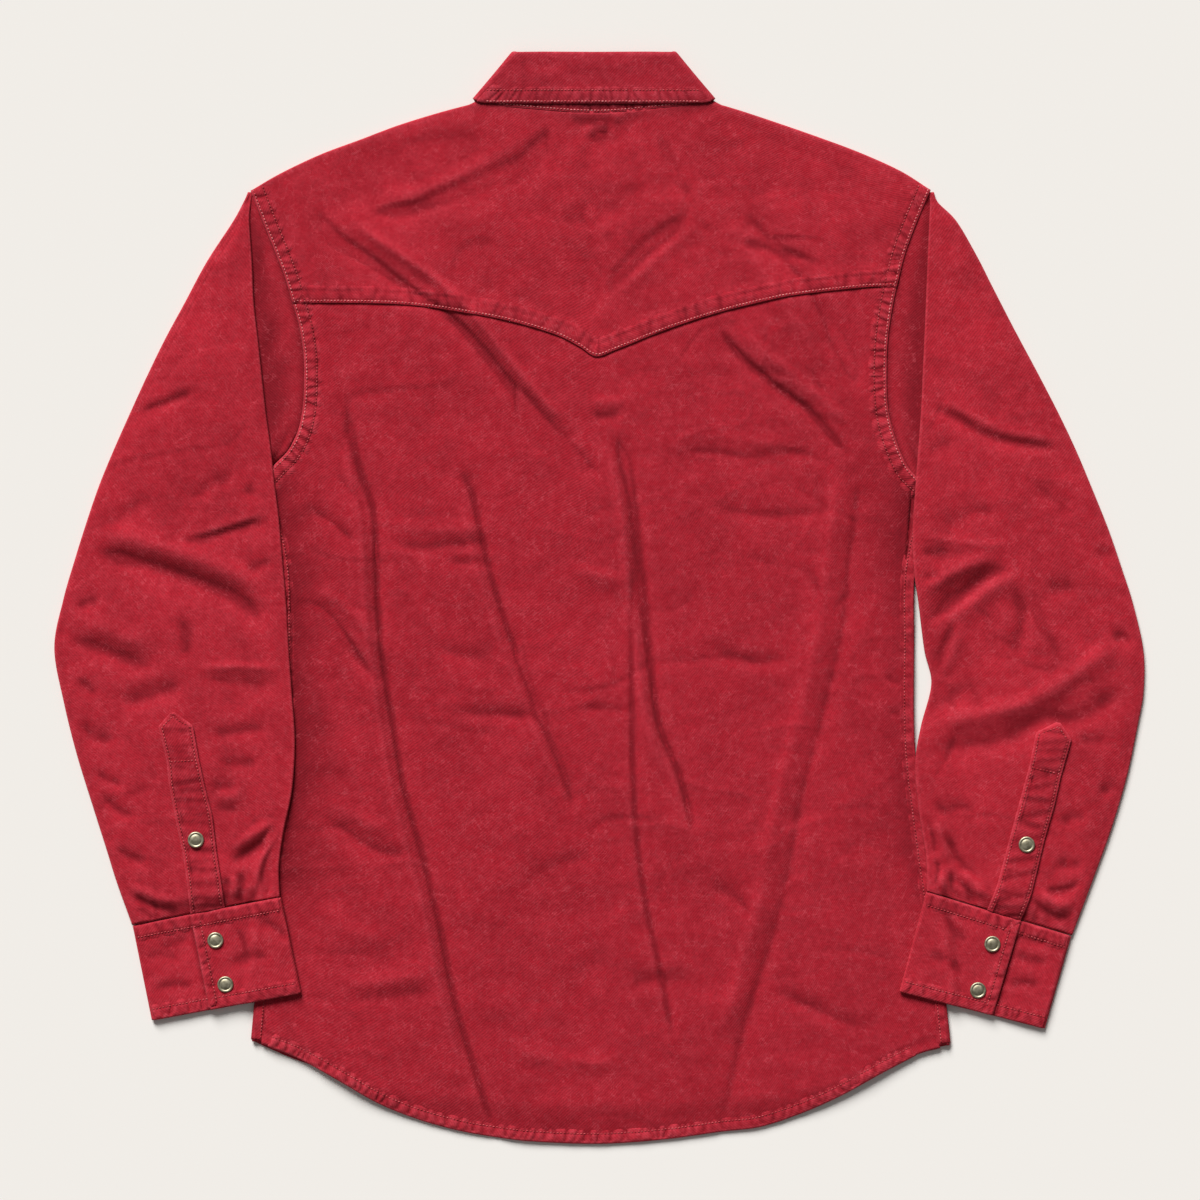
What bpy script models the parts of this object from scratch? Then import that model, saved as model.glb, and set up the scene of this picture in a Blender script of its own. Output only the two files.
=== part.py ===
"""Western snap shirt, laid flat with its back up.

All tables are in millimetres: x to the right, y toward the collar, z up from
the surface the shirt lies on. The front of the garment faces that surface.
"""
import math

import bpy
from mathutils import Vector
from mathutils.bvhtree import BVHTree

MM = 0.001

# ---- driving dimensions, millimetres
CLOTH = 1.2           # wall of the panels
BAND_CLOTH = 1.4      # wall of the collar stand
FALL_CLOTH = 1.6      # wall of the collar fall and the cuffs
GAP = 0.3             # clearance between neighbouring pieces
FRONT_Z = 0.6         # mid height of the fronts on the surface
FOLD_RISE = 2.0       # mid height of the back layer above the front layer
DOME_RISE = 1.6       # how much the middle of the back stands higher
NECK_LIFT = 2.0       # rise of the layers that lie over the collar leaves
FRONT_YOKE = 30.0     # how far the yoke reaches over the shoulder
SIDE_TURN = 8.0       # front cloth turned over the side edge onto the back
PLACKET_HALF = 17.5   # half width of the front placket
PLACKET_THICK = 1.6
SNAP_RADIUS = 6.0
SNAP_SIDES = 12
NECK_CENTRE = -3.7    # x of the collar's middle

# ---- outlines, millimetres (x, y)
SHOULDER_LEFT = [(-257.3, 300.6), (-236.1, 313.0), (-206.5, 327.1), (-176.9, 338.2),
                 (-147.3, 349.3), (-117.7, 358.2), (-89.5, 365.6)]
NECK_BACK = [(-89.5, 365.6), (-68.0, 363.6), (-46.3, 361.6), (-22.0, 359.6),
             (0.7, 358.9), (20.0, 360.0), (38.5, 361.9), (62.0, 364.2), (84.0, 365.6)]
SHOULDER_RIGHT = [(84.0, 365.6), (104.3, 359.6), (133.9, 350.0), (163.5, 339.7),
                  (193.1, 328.6), (222.7, 315.2), (244.9, 301.2)]
ARMHOLE_LEFT = [(-257.3, 300.6), (-248.6, 278.2), (-240.2, 257.5), (-231.6, 235.3),
                (-226.4, 217.6), (-221.3, 199.8), (-218.1, 179.5), (-217.6, 162.8),
                (-218.4, 142.1), (-222.0, 123.6), (-229.1, 108.8), (-240.2, 97.0),
                (-252.3, 83.6)]
ARMHOLE_RIGHT = [(244.9, 301.2), (234.4, 276.3), (226.4, 254.8), (220.0, 229.7),
                 (216.3, 211.6), (213.3, 190.2), (212.4, 168.7), (212.8, 147.3),
                 (215.3, 129.5), (220.9, 111.3), (227.9, 96.2), (236.5, 87.0),
                 (246.4, 80.7)]
SIDE_LEFT = [(-252.3, 83.6), (-237.5, 27.4), (-235.3, -31.8), (-235.3, -109.5),
             (-242.0, -185.0), (-249.4, -246.4), (-256.8, -328.6)]
SIDE_RIGHT = [(246.4, 80.7), (233.4, 20.0), (232.4, -31.8), (232.9, -109.5),
              (241.0, -180.0), (249.4, -239.0), (259.4, -331.5)]
YOKE_SEAM = [(-226.4, 217.6), (-197.6, 217.6), (-172.4, 217.3), (-146.5, 216.3),
             (-121.4, 213.9), (-95.5, 209.4), (-70.3, 205.0), (-45.1, 198.3),
             (-28.1, 192.4), (-14.1, 185.0), (-2.2, 177.9), (12.6, 182.8),
             (40.0, 193.9), (66.6, 203.5), (93.2, 211.6), (120.6, 218.3),
             (147.3, 223.5), (174.3, 226.8), (201.3, 229.4), (220.0, 229.7)]
HEM_BACK = [(-256.8, -328.6), (-244.9, -331.5), (-221.3, -341.1), (-191.7, -357.4),
            (-162.1, -374.4), (-132.5, -386.3), (-102.9, -394.4), (-73.3, -399.6),
            (-43.7, -402.6), (0.7, -404.0), (45.1, -401.1), (89.5, -395.2),
            (119.1, -391.5), (148.7, -381.8), (178.3, -368.5), (207.9, -352.2),
            (234.3, -338.6), (259.4, -331.5)]
HEM_FRONT = [(-256.8, -328.6), (-244.9, -333.5), (-230.0, -340.0), (-215.0, -345.5),
             (-180.0, -355.0), (-147.3, -361.1), (-75.0, -368.0), (0.0, -370.7),
             (75.0, -368.0), (141.3, -361.1), (200.0, -347.0), (233.8, -336.5),
             (259.4, -331.5)]
NECK_FRONT_LEFT = [(-89.5, 365.6), (-87.0, 336.0), (-72.0, 315.0), (-48.0, 302.0),
                   (-18.0, 296.0)]
NECK_FRONT_RIGHT = [(84.0, 365.6), (80.0, 336.0), (64.0, 315.0), (40.0, 302.0),
                    (10.0, 296.0), (-14.0, 295.6)]

# ---- heights of the rows that the back and the fronts share below the underarm
SIDE_ROWS_LEFT = [57.0, 27.4, -2.0, -31.8, -70.0, -109.5, -147.0, -185.0, -215.0,
                  -246.4, -287.0, -328.6]
SIDE_ROWS_RIGHT = [50.0, 20.0, -6.0, -31.8, -70.0, -109.5, -145.0, -180.0, -210.0,
                   -239.0, -285.0, -331.5]
# ---- x of the columns: across the neck, then from the throat to the middle of
# ---- each front at the neck and at the hem
NECK_COLUMNS = [-89.5, -72.0, -54.0, -37.0, -20.0, -5.07, 10.0, 28.0, 46.0, 65.0, 84.0]
SHOULDER_COLUMNS = 8
THROAT_LEFT = [(-72.0, -78.0), (-57.0, -61.0), (-42.0, -44.0), (-28.0, -28.0),
               (-18.0, -18.0)]
THROAT_RIGHT = [(64.0, 80.0), (50.0, 58.0), (36.0, 37.0), (21.0, 21.0), (4.0, 4.0),
                (-14.0, -14.0)]

# ---- large folds of the back: half width, height, path
FOLDS = [
    (15.0, 1.3, [(-188, 260), (-125, 224), (-88, 190), (-51, 150), (-10, 112)]),
    (16.0, -0.9, [(-205, 262), (-135, 208), (-96, 172), (-60, 132), (-18, 98)]),
    (16.0, 1.2, [(-150, 131), (-148, 57), (-146, -32), (-140, -76), (-112, -202),
                 (-82, -328), (-70, -376)]),
    (16.0, -1.0, [(-178, 131), (-164, 57), (-162, -32), (-155, -76), (-125, -202),
                  (-96, -328), (-86, -376)]),
    (16.0, 1.2, [(-95, 101), (-66, 27), (-40, -61), (-20, -106), (0, -165)]),
    (16.0, -0.8, [(8, 116), (14, 12), (24, -69), (40, -158)]),
    (17.0, 1.1, [(34, 116), (44, 12), (54, -69), (78, -158), (86, -260)]),
    (17.0, -1.1, [(193, 116), (184, 27), (168, -47), (146, -165), (112, -306), (100, -372)]),
    (17.0, 1.1, [(172, 116), (164, 27), (150, -47), (126, -165), (96, -306)]),
    (15.0, -0.9, [(82, 205), (104, 183), (141, 157), (164, 131), (186, 101)]),
    (15.0, 1.0, [(88, 178), (112, 160), (140, 136), (158, 112)]),
    (16.0, -1.1, [(108, 286), (141, 257), (155, 227), (178, 183), (189, 124)]),
    (16.0, 1.2, [(128, 296), (164, 262), (180, 222), (196, 186)]),
    (14.0, -0.8, [(-162, 286), (-125, 295), (-88, 309), (-58, 321), (-40, 340)]),
    (14.0, 0.9, [(-160, 304), (-122, 315), (-88, 328)]),
    (14.0, -0.7, [(4, 220), (16, 242), (38, 264), (67, 283)]),
    (15.0, 0.9, [(23, 106), (75, 114), (119, 112), (171, 110)]),
    (15.0, -0.8, [(75, 74), (104, 62), (141, 62), (186, 62)]),
    (15.0, 0.9, [(-225, -10), (-199, -28), (-180, -52), (-168, -84)]),
    (16.0, 0.9, [(-200, -165), (-170, -178), (-140, -172)]),
    (16.0, 0.9, [(-200, -300), (-155, -292), (-115, -284)]),
    (17.0, 0.9, [(125, -280), (150, -290), (185, -306)]),
]

# ---- sleeves, a row per section: the outer and inner edge seen from above, and the
# ---- height at which the inner edge rests on the cloth sewn into the armhole; below
# ---- the underarm that height follows from the body's side edge
SLEEVE_LEFT = [
    # outer x, y      inner x, y        rest
    (-263.2, 291.5, -257.4, 291.5, 1.1),
    (-270.8, 277.5, -258.3, 277.5, 2.4),
    (-290.1, 247.9, -256.4, 247.9, 3.1),
    (-306.4, 217.6, -255.1, 217.6, 3.1),
    (-321.2, 190.2, -252.0, 190.2, 3.1),
    (-334.9, 162.1, -249.0, 162.1, 3.1),
    (-347.4, 134.7, -246.0, 134.7, 3.1),
    (-358.9, 108.8, -242.3, 108.8, 4.2),
    (-369.3, 83.6, -239.4, 81.5, 0.0),
    (-378.5, 57.0, -236.3, 57.0, 0.0),
    (-387.8, 27.4, -233.8, 27.4, 0.0),
    (-396.3, -2.2, -231.2, -2.2, 0.0),
    (-402.9, -37.7, -229.0, -40.7, 0.0),
    (-395.9, -77.7, -226.8, -71.8, 0.0),
    (-386.3, -116.2, -224.6, -107.3, 0.0),
    (-374.4, -154.7, -226.8, -142.8, 0.0),
    (-364.1, -187.2, -233.1, -173.9, 0.0),
    (-356.7, -210.9, -236.4, -199.1, 0.0),
    (-345.3, -242.6, -235.8, -221.3, 0.0),
]
SLEEVE_RIGHT = [
    # outer x, y      inner x, y        rest
    (250.9, 291.5, 244.7, 291.5, 1.1),
    (264.6, 277.5, 244.0, 277.5, 2.4),
    (279.5, 252.0, 242.9, 252.0, 3.1),
    (290.8, 229.7, 242.0, 229.7, 3.1),
    (307.1, 198.0, 240.7, 198.0, 3.1),
    (324.2, 166.0, 239.2, 166.0, 3.1),
    (339.2, 137.0, 237.9, 137.0, 3.1),
    (352.6, 108.8, 235.7, 108.8, 4.2),
    (364.4, 80.7, 233.5, 78.6, 0.0),
    (376.7, 50.0, 231.6, 50.0, 0.0),
    (387.0, 20.0, 232.6, 20.0, 0.0),
    (395.2, -5.9, 236.1, -5.9, 0.0),
    (402.6, -39.2, 240.5, -39.2, 0.0),
    (402.9, -68.8, 245.7, -64.4, 0.0),
    (398.9, -92.5, 237.5, -97.0, 0.0),
    (390.7, -131.7, 233.5, -124.3, 0.0),
    (379.6, -169.5, 236.8, -161.3, 0.0),
    (368.5, -200.5, 241.5, -191.0, 0.0),
    (349.9, -250.2, 242.2, -217.3, 0.0),
]
SLEEVE_OPEN_ROWS = 8   # rows above the underarm, sewn to the armhole

# ---- large folds of the sleeves: half width, height, path
SLEEVE_FOLDS = [
    (14.0, 1.5, [(-372, 52), (-335, 38), (-302, 28), (-270, 4), (-248, -18)]),
    (14.0, -1.2, [(-385, 30), (-340, 18), (-305, 8), (-275, -12), (-252, -36)]),
    (13.0, 1.0, [(-345, 148), (-314, 158), (-294, 168)]),
    (13.0, 1.0, [(-308, 50), (-278, 58), (-250, 66)]),
    (14.0, 1.2, [(-300, -54), (-270, -56), (-240, -55)]),
    (13.0, 1.0, [(-280, -190), (-258, -172), (-240, -152)]),
    (14.0, 1.5, [(236, -6), (262, 6), (284, 20), (310, 30)]),
    (14.0, -1.2, [(244, -24), (270, -8), (300, 8), (330, 12)]),
    (13.0, -1.0, [(242, 144), (278, 130), (310, 120), (349, 110)]),
    (13.0, 1.0, [(250, 150), (284, 142), (320, 130)]),
    (13.0, 1.0, [(236, 40), (270, 44), (305, 46), (340, 32)]),
    (15.0, 1.2, [(246, -104), (275, -90), (312, -72), (352, -56)]),
    (13.0, 1.0, [(262, -204), (284, -226)]),
]

# ---- sleeve plackets, a row per section from the pointed tip to the cuff
PLACKET_LEFT = [
    # left x, y         right x, y
    (-316.6, -85.6, -313.4, -85.2),
    (-325.0, -95.5, -299.8, -94.7),
    (-318.9, -121.8, -295.6, -118.4),
    (-317.3, -139.0, -291.0, -140.2),
    (-312.9, -162.1, -285.6, -160.9),
    (-307.2, -190.0, -282.5, -187.7),
    (-303.6, -214.0, -279.0, -210.0),
    (-301.8, -234.6, -276.4, -229.6),
]
PLACKET_RIGHT = [
    (337.4, -92.6, 341.0, -93.5),
    (322.7, -100.1, 348.7, -105.3),
    (317.5, -125.1, 340.9, -132.7),
    (311.5, -146.7, 336.6, -152.2),
    (305.6, -168.5, 329.0, -178.6),
    (299.0, -193.4, 324.5, -197.4),
    (293.7, -213.0, 319.3, -218.9),
    (286.6, -231.6, 311.6, -239.2),
]

# ---- cuffs: corners as outer top, outer bottom, inner top, inner bottom, then
# ---- the top and bottom of the edge of the flap that carries the snaps
CUFF_LEFT = [(-344.9, -243.2), (-330.8, -312.8), (-235.0, -222.0), (-219.9, -292.3),
             (-301.6, -235.6), (-287.6, -304.6)]
CUFF_RIGHT = [(349.2, -251.0), (329.7, -318.9), (241.6, -218.0), (221.9, -291.2),
              (311.2, -240.0), (290.6, -309.6)]
CUFF_UNDERLAP = 28.0

# ---- snaps that show (x, y) and their nodes
SNAPS = [
    ("snap_placket_left", -297.5, -179.1),
    ("snap_cuff_left_upper", -283.4, -253.5),
    ("snap_cuff_left_lower", -276.0, -286.1),
    ("snap_placket_right", 315.4, -182.6),
    ("snap_cuff_right_upper", 290.5, -256.3),
    ("snap_cuff_right_lower", 280.0, -290.5),
]
FRONT_SNAP_TOP = 268.0
FRONT_SNAP_PITCH = 84.0
FRONT_SNAP_COUNT = 7
FRONT_SNAP_THICK = 0.55
POCKET_DEPTH = 0.85

# ---- collar, a row per station from the centre back round to the centre front.
# ---- x is measured outward from the collar's middle, turn is the angle of the
# ---- outside of the collar: 90 faces up, -90 faces the surface.
COLLAR = [
    # neck x, y       fold x, y      outer x, y     turn
    (0.0, 359.7, 0.0, 402.2, 0.0, 363.0, 90),
    (20.0, 360.6, 18.0, 402.3, 21.0, 363.2, 90),
    (44.0, 362.4, 38.0, 402.4, 46.0, 363.6, 90),
    (68.0, 364.6, 53.0, 402.2, 70.0, 364.2, 90),
    (83.6, 366.9, 58.1, 401.1, 84.1, 366.5, 90),
    (83.6, 366.9, 58.1, 401.1, 84.1, 366.5, 45),
    (83.6, 366.9, 58.1, 401.1, 84.1, 366.5, 0),
    (83.6, 366.9, 58.1, 401.1, 84.1, 366.3, -45),
    (83.8, 366.2, 58.0, 400.6, 84.6, 365.2, -90),
    (82.4, 345.0, 48.0, 374.0, 82.0, 334.0, -90),
    (76.0, 326.0, 37.0, 354.0, 74.0, 304.0, -90),
    (58.0, 309.5, 28.0, 342.0, 66.0, 282.0, -90),
    (34.0, 300.3, 16.0, 333.0, 57.0, 269.0, -90),
    (4.0, 296.6, 4.0, 328.0, 50.0, 262.0, -90),
]
COLLAR_MID = 3.7      # mid height about which the collar turns
STAND_TURN = 0.9      # half the height between the two layers of the stand
FALL_TURN = 2.85      # half the height between the two layers of the fall
COLLAR_SIDE = (0.80, 0.60)   # way the collar's side edge faces, x outward


def smooth(t):
    t = min(1.0, max(0.0, t))
    return t * t * (3.0 - 2.0 * t)


def lerp(p, q, t):
    return tuple(a + (b - a) * t for a, b in zip(p, q))


def path_distance(x, y, path):
    best = 1.0e9
    for (ax, ay), (bx, by) in zip(path, path[1:]):
        dx = bx - ax
        dy = by - ay
        t = ((x - ax) * dx + (y - ay) * dy) / (dx * dx + dy * dy)
        t = min(1.0, max(0.0, t))
        best = min(best, math.hypot(x - ax - dx * t, y - ay - dy * t))
    return best


def along(path, share):
    """Point at a share of the length of a path."""
    steps = [math.dist(p, q) for p, q in zip(path, path[1:])]
    left = share * sum(steps)
    for (p, q), step in zip(zip(path, path[1:]), steps):
        if left <= step:
            return lerp(p, q, left / step)
        left -= step
    return path[-1]


def at_x(path, x):
    """y of a path that runs steadily in x."""
    for p, q in zip(path, path[1:]):
        if min(p[0], q[0]) <= x <= max(p[0], q[0]):
            return lerp(p, q, (x - p[0]) / (q[0] - p[0]))[1]
    end = path[0] if abs(x - path[0][0]) < abs(x - path[-1][0]) else path[-1]
    return end[1]


def at_y(path, y):
    """x of a path that runs steadily in y."""
    for p, q in zip(path, path[1:]):
        if min(p[1], q[1]) <= y <= max(p[1], q[1]):
            return lerp(p, q, (y - p[1]) / (q[1] - p[1]))[0]
    end = path[0] if abs(y - path[0][1]) < abs(y - path[-1][1]) else path[-1]
    return end[0]


def shifted(path, dx, dy):
    return [(x + dx, y + dy) for x, y in path]


def below(path, y):
    """The part of a falling path that lies below y, begun on y."""
    kept = [p for p in path if p[1] < y]
    return [(at_y(path, y), y)] + kept


def coons(top, bottom, left, right):
    """Rows of plan points filling four edges, given as lists of points that
    share their corners. Each edge sets its own spacing."""
    lengths = [math.dist(p, q) for p, q in zip(left, left[1:])]
    vs = [0.0]
    for step in lengths:
        vs.append(vs[-1] + step / sum(lengths))
    lengths = [math.dist(p, q) for p, q in zip(bottom, bottom[1:])]
    us = [0.0]
    for step in lengths:
        us.append(us[-1] + step / sum(lengths))
    rows = []
    for k, v in enumerate(vs):
        row = []
        for c, u in enumerate(us):
            point = []
            for i in (0, 1):
                ruled = ((1 - v) * top[c][i] + v * bottom[c][i]
                         + (1 - u) * left[k][i] + u * right[k][i])
                corner = ((1 - u) * (1 - v) * top[0][i] + u * (1 - v) * top[-1][i]
                          + (1 - u) * v * bottom[0][i] + u * v * bottom[-1][i])
                point.append(ruled - corner)
            row.append(tuple(point))
        rows.append(row)
    return rows


def split(path, parts):
    """Each step of a path cut into the given number of equal parts."""
    points = [path[0]]
    for (p, q), count in zip(zip(path, path[1:]), parts):
        points += [lerp(p, q, (k + 1) / count) for k in range(count)]
    return points


def material(name, colour, roughness, metallic=0.0):
    m = bpy.data.materials.new(name)
    m.use_nodes = True
    shader = m.node_tree.nodes["Principled BSDF"]
    shader.inputs["Base Color"].default_value = (*colour, 1.0)
    shader.inputs["Roughness"].default_value = roughness
    shader.inputs["Metallic"].default_value = metallic
    m.diffuse_color = (*colour, 1.0)
    return m


def solid(name, points, faces, mat, rounded=True):
    mesh = bpy.data.meshes.new(name)
    mesh.from_pydata([(x * MM, y * MM, z * MM) for x, y, z in points], [], faces)
    mesh.update()
    for face in mesh.polygons:
        face.use_smooth = rounded
    item = bpy.data.objects.new(name, mesh)
    bpy.context.scene.collection.objects.link(item)
    mesh.materials.append(mat)
    return item


def wall(name, points, faces, mat, up, down):
    """Closed wall on both sides of a middle surface; up and down are the
    offsets of each point along its normal."""
    pieces = []
    for f in faces:
        i, j, k, m = f
        if abs(points[i][2] - points[k][2]) <= abs(points[j][2] - points[m][2]):
            pieces += [(i, j, k), (i, k, m)]
        else:
            pieces += [(i, j, m), (j, k, m)]
    faces = pieces
    used = sorted({i for f in faces for i in f})
    place = {old: new for new, old in enumerate(used)}
    mids = [Vector(points[i]) for i in used]
    ups = [up[i] for i in used]
    downs = [down[i] for i in used]
    faces = [tuple(place[i] for i in f) for f in faces]
    normals = [Vector((0.0, 0.0, 0.0)) for _ in mids]
    for f in faces:
        for k, i in enumerate(f):
            before = mids[f[k - 1]] - mids[i]
            after = mids[f[(k + 1) % len(f)]] - mids[i]
            corner = after.cross(before)
            if corner.length > 1e-9:
                normals[i] += corner.normalized() * after.angle(before)
    for n in normals:
        n.normalize()
    count = len(mids)
    shell = [tuple(m + n * t) for m, n, t in zip(mids, normals, ups)]
    shell += [tuple(m - n * t) for m, n, t in zip(mids, normals, downs)]
    body = [tuple(f) for f in faces]
    body += [tuple(i + count for i in reversed(f)) for f in faces]
    edges = {}
    for f in faces:
        for k, i in enumerate(f):
            edges[(i, f[(k + 1) % len(f)])] = True
    for (i, j) in edges:
        if (j, i) not in edges:
            body.append((j, i, i + count, j + count))
    return solid(name, shell, body, mat)


def grid_faces(rows, columns, start=0, keep=None):
    """Quads of a grid whose rows run down and columns run to the right."""
    faces = []
    for r in range(rows - 1):
        for c in range(columns - 1):
            if keep is None or keep(r, c):
                a = start + r * columns + c
                faces.append((a, a + columns, a + columns + 1, a + 1))
    return faces


# ---- heights of the layers
LEFT_EDGE = SHOULDER_LEFT[::-1] + ARMHOLE_LEFT[1:] + SIDE_LEFT[1:]
RIGHT_EDGE = SHOULDER_RIGHT + ARMHOLE_RIGHT[1:] + SIDE_RIGHT[1:]
LEAF_MIDDLE = (NECK_CENTRE, 330.0)
LEAF_REACH = (108.0, 92.0)


def neck_lift(x, y):
    """1 over the collar leaves, fading to 0 around them."""
    reach = math.hypot((x - LEAF_MIDDLE[0]) / LEAF_REACH[0],
                       (y - LEAF_MIDDLE[1]) / LEAF_REACH[1])
    return 1.0 - smooth((reach - 1.02) / 0.3)


def left_front_height(x, y):
    return FRONT_Z + NECK_LIFT * neck_lift(x, y) * smooth((-19.0 - x) / 9.0)


def right_front_height(x, y):
    over_placket = 1.0 - smooth((x - PLACKET_HALF - 3.5) / 15.0)
    return FRONT_Z + NECK_LIFT * max(neck_lift(x, y), over_placket)


def side_front_height(x, y):
    return FRONT_Z + NECK_LIFT * neck_lift(x, y)


def fold_height(x, y, folds):
    total = 0.0
    for half_width, height, path in folds:
        distance = path_distance(x, y, path)
        if distance < half_width:
            total += height * smooth(1.0 - distance / half_width)
    return total


def back_height(x, y):
    """Middle of the back layer: yoke and back panel."""
    edge = min(path_distance(x, y, LEFT_EDGE), path_distance(x, y, RIGHT_EDGE))
    dome = smooth((edge - 35.0) / 50.0) * DOME_RISE / NECK_LIFT
    rise = NECK_LIFT * max(dome, neck_lift(x, y))
    rise += fold_height(x, y, FOLDS) * smooth((edge - 10.0) / 35.0) * (1.0 - neck_lift(x, y))
    height = FRONT_Z + FOLD_RISE + rise
    on_fronts = smooth((y - at_x(HEM_FRONT, x) + 20.0) / 8.0)
    lowest = right_front_height(x, y) if abs(x) < 60.0 else side_front_height(x, y)
    height = max(height, lowest + CLOTH + 0.4)
    return FRONT_Z + (height - FRONT_Z) * on_fronts


def over_body(x, y):
    """1 where a sleeve lies over the side edge of the body, 0 beside it."""
    outward = -1.0 if x < 0.0 else 1.0
    side = at_y(SIDE_LEFT if x < 0.0 else SIDE_RIGHT, y)
    return smooth((12.0 - (x - side) * outward) / 10.0)


# ---- shared edges
def armhole(side, high, low):
    """Armhole between two heights, as the straight steps of the sleeve rows."""
    path = ARMHOLE_LEFT if side < 0 else ARMHOLE_RIGHT
    table = SLEEVE_LEFT if side < 0 else SLEEVE_RIGHT
    steps = [path[0]]
    steps += [(at_y(path, row[3]), row[3]) for row in table[:SLEEVE_OPEN_ROWS]]
    steps.append(path[-1])
    return [(at_y(steps, high), high)] + [p for p in below(steps, high)[1:] if p[1] > low] + [
        (at_y(steps, low), low)]


def shoulder_and_neck():
    """Top edge of the yoke, from the left armhole to the right one."""
    n = SHOULDER_COLUMNS
    points = [along(SHOULDER_LEFT, k / n) for k in range(n)]
    points += [(x, at_x(NECK_BACK, x)) for x in NECK_COLUMNS]
    points += [along(SHOULDER_RIGHT, (k + 1) / n) for k in range(n)]
    return points


def yoke_seam():
    """Lower edge of the yoke, a point for each point of its top edge."""
    top = shoulder_and_neck()
    left, right = YOKE_SEAM[0], YOKE_SEAM[-1]
    points = []
    for x, _ in top:
        share = (x - top[0][0]) / (top[-1][0] - top[0][0])
        seam_x = left[0] + (right[0] - left[0]) * share
        points.append((seam_x, at_x(YOKE_SEAM, seam_x)))
    points[0] = armhole(-1, left[1], 100.0)[0]
    points[-1] = armhole(1, right[1], 100.0)[0]
    return points


def front_seam(side):
    """Seam between the front and the part of the yoke turned over the
    shoulder, from the armhole to the throat."""
    drop = FOLD_RISE / 2 + CLOTH / 2 + FRONT_YOKE
    top = shoulder_and_neck()
    fold = top[:SHOULDER_COLUMNS + 1] if side < 0 else top[-SHOULDER_COLUMNS - 1:][::-1]
    first_y = fold[0][1] - drop
    last_y = fold[-1][1] - drop
    first_x = armhole(side, first_y, 100.0)[0][0]
    last_x = at_y(NECK_FRONT_LEFT if side < 0 else NECK_FRONT_RIGHT, last_y)
    points = []
    for x, y in fold:
        share = (x - fold[0][0]) / (fold[-1][0] - fold[0][0])
        points.append((first_x + (last_x - first_x) * share, y - drop))
    return points


# ---- panels of the body
CORNER_Y = 92.0       # where the back's armhole meets its turned side edge
BAND_RISE = 0.5       # extra thickness of a turned and sewn edge


def build_back(mat):
    seam = shifted(yoke_seam(), 0.0, -GAP)
    sides = []
    for side, rows, flank in ((-1, SIDE_ROWS_LEFT, SIDE_LEFT), (1, SIDE_ROWS_RIGHT, SIDE_RIGHT)):
        arm = armhole(side, seam[0 if side < 0 else -1][1], CORNER_Y)
        inset = -side * (SIDE_TURN + GAP)
        down = [arm[-1]] + [(at_y(flank, y) + inset, y) for y in rows]
        last = down[-1]
        down[-1] = (last[0], at_x(HEM_BACK, last[0]))
        fine = split(arm, [2] * 4 + [1])
        fine += split(down, [1, 1, 2, 2, 2, 2, 1, 1, 1, 1, 1, 1])[1:]
        end = len(fine) - 1
        fine.insert(end, lerp(fine[end], fine[end - 1], 0.62))
        sides.append(fine)
    left, right = sides
    seam[0], seam[-1] = left[0], right[0]
    hem = [left[-1]]
    for x, _ in seam[1:-1]:
        share = (x - seam[0][0]) / (seam[-1][0] - seam[0][0])
        hem_x = left[-1][0] + (right[-1][0] - left[-1][0]) * share
        hem.append((hem_x, at_x(HEM_BACK, hem_x)))
    hem.append(right[-1])
    for edge in (seam, hem):
        edge[1:1] = [lerp(edge[0], edge[1], 0.38), lerp(edge[0], edge[1], 0.55)]
        edge[-1:-1] = [lerp(edge[-1], edge[-2], 0.55), lerp(edge[-1], edge[-2], 0.38)]
    rows = coons(seam, hem, left, right)
    points = []
    up = []
    for r, row in enumerate(rows):
        for c, (x, y) in enumerate(row):
            points.append((x, y, back_height(x, y)))
            raised = BAND_RISE if r >= len(rows) - 2 else 0.0
            if min(c, len(row) - 1 - c) <= 1:
                raised = max(raised, BAND_RISE * smooth((y - 105.0) / 20.0))
            up.append(CLOTH / 2 + raised)
    faces = grid_faces(len(rows), len(rows[0]))
    return wall("back", points, faces, mat, up, [CLOTH / 2] * len(points))


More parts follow.
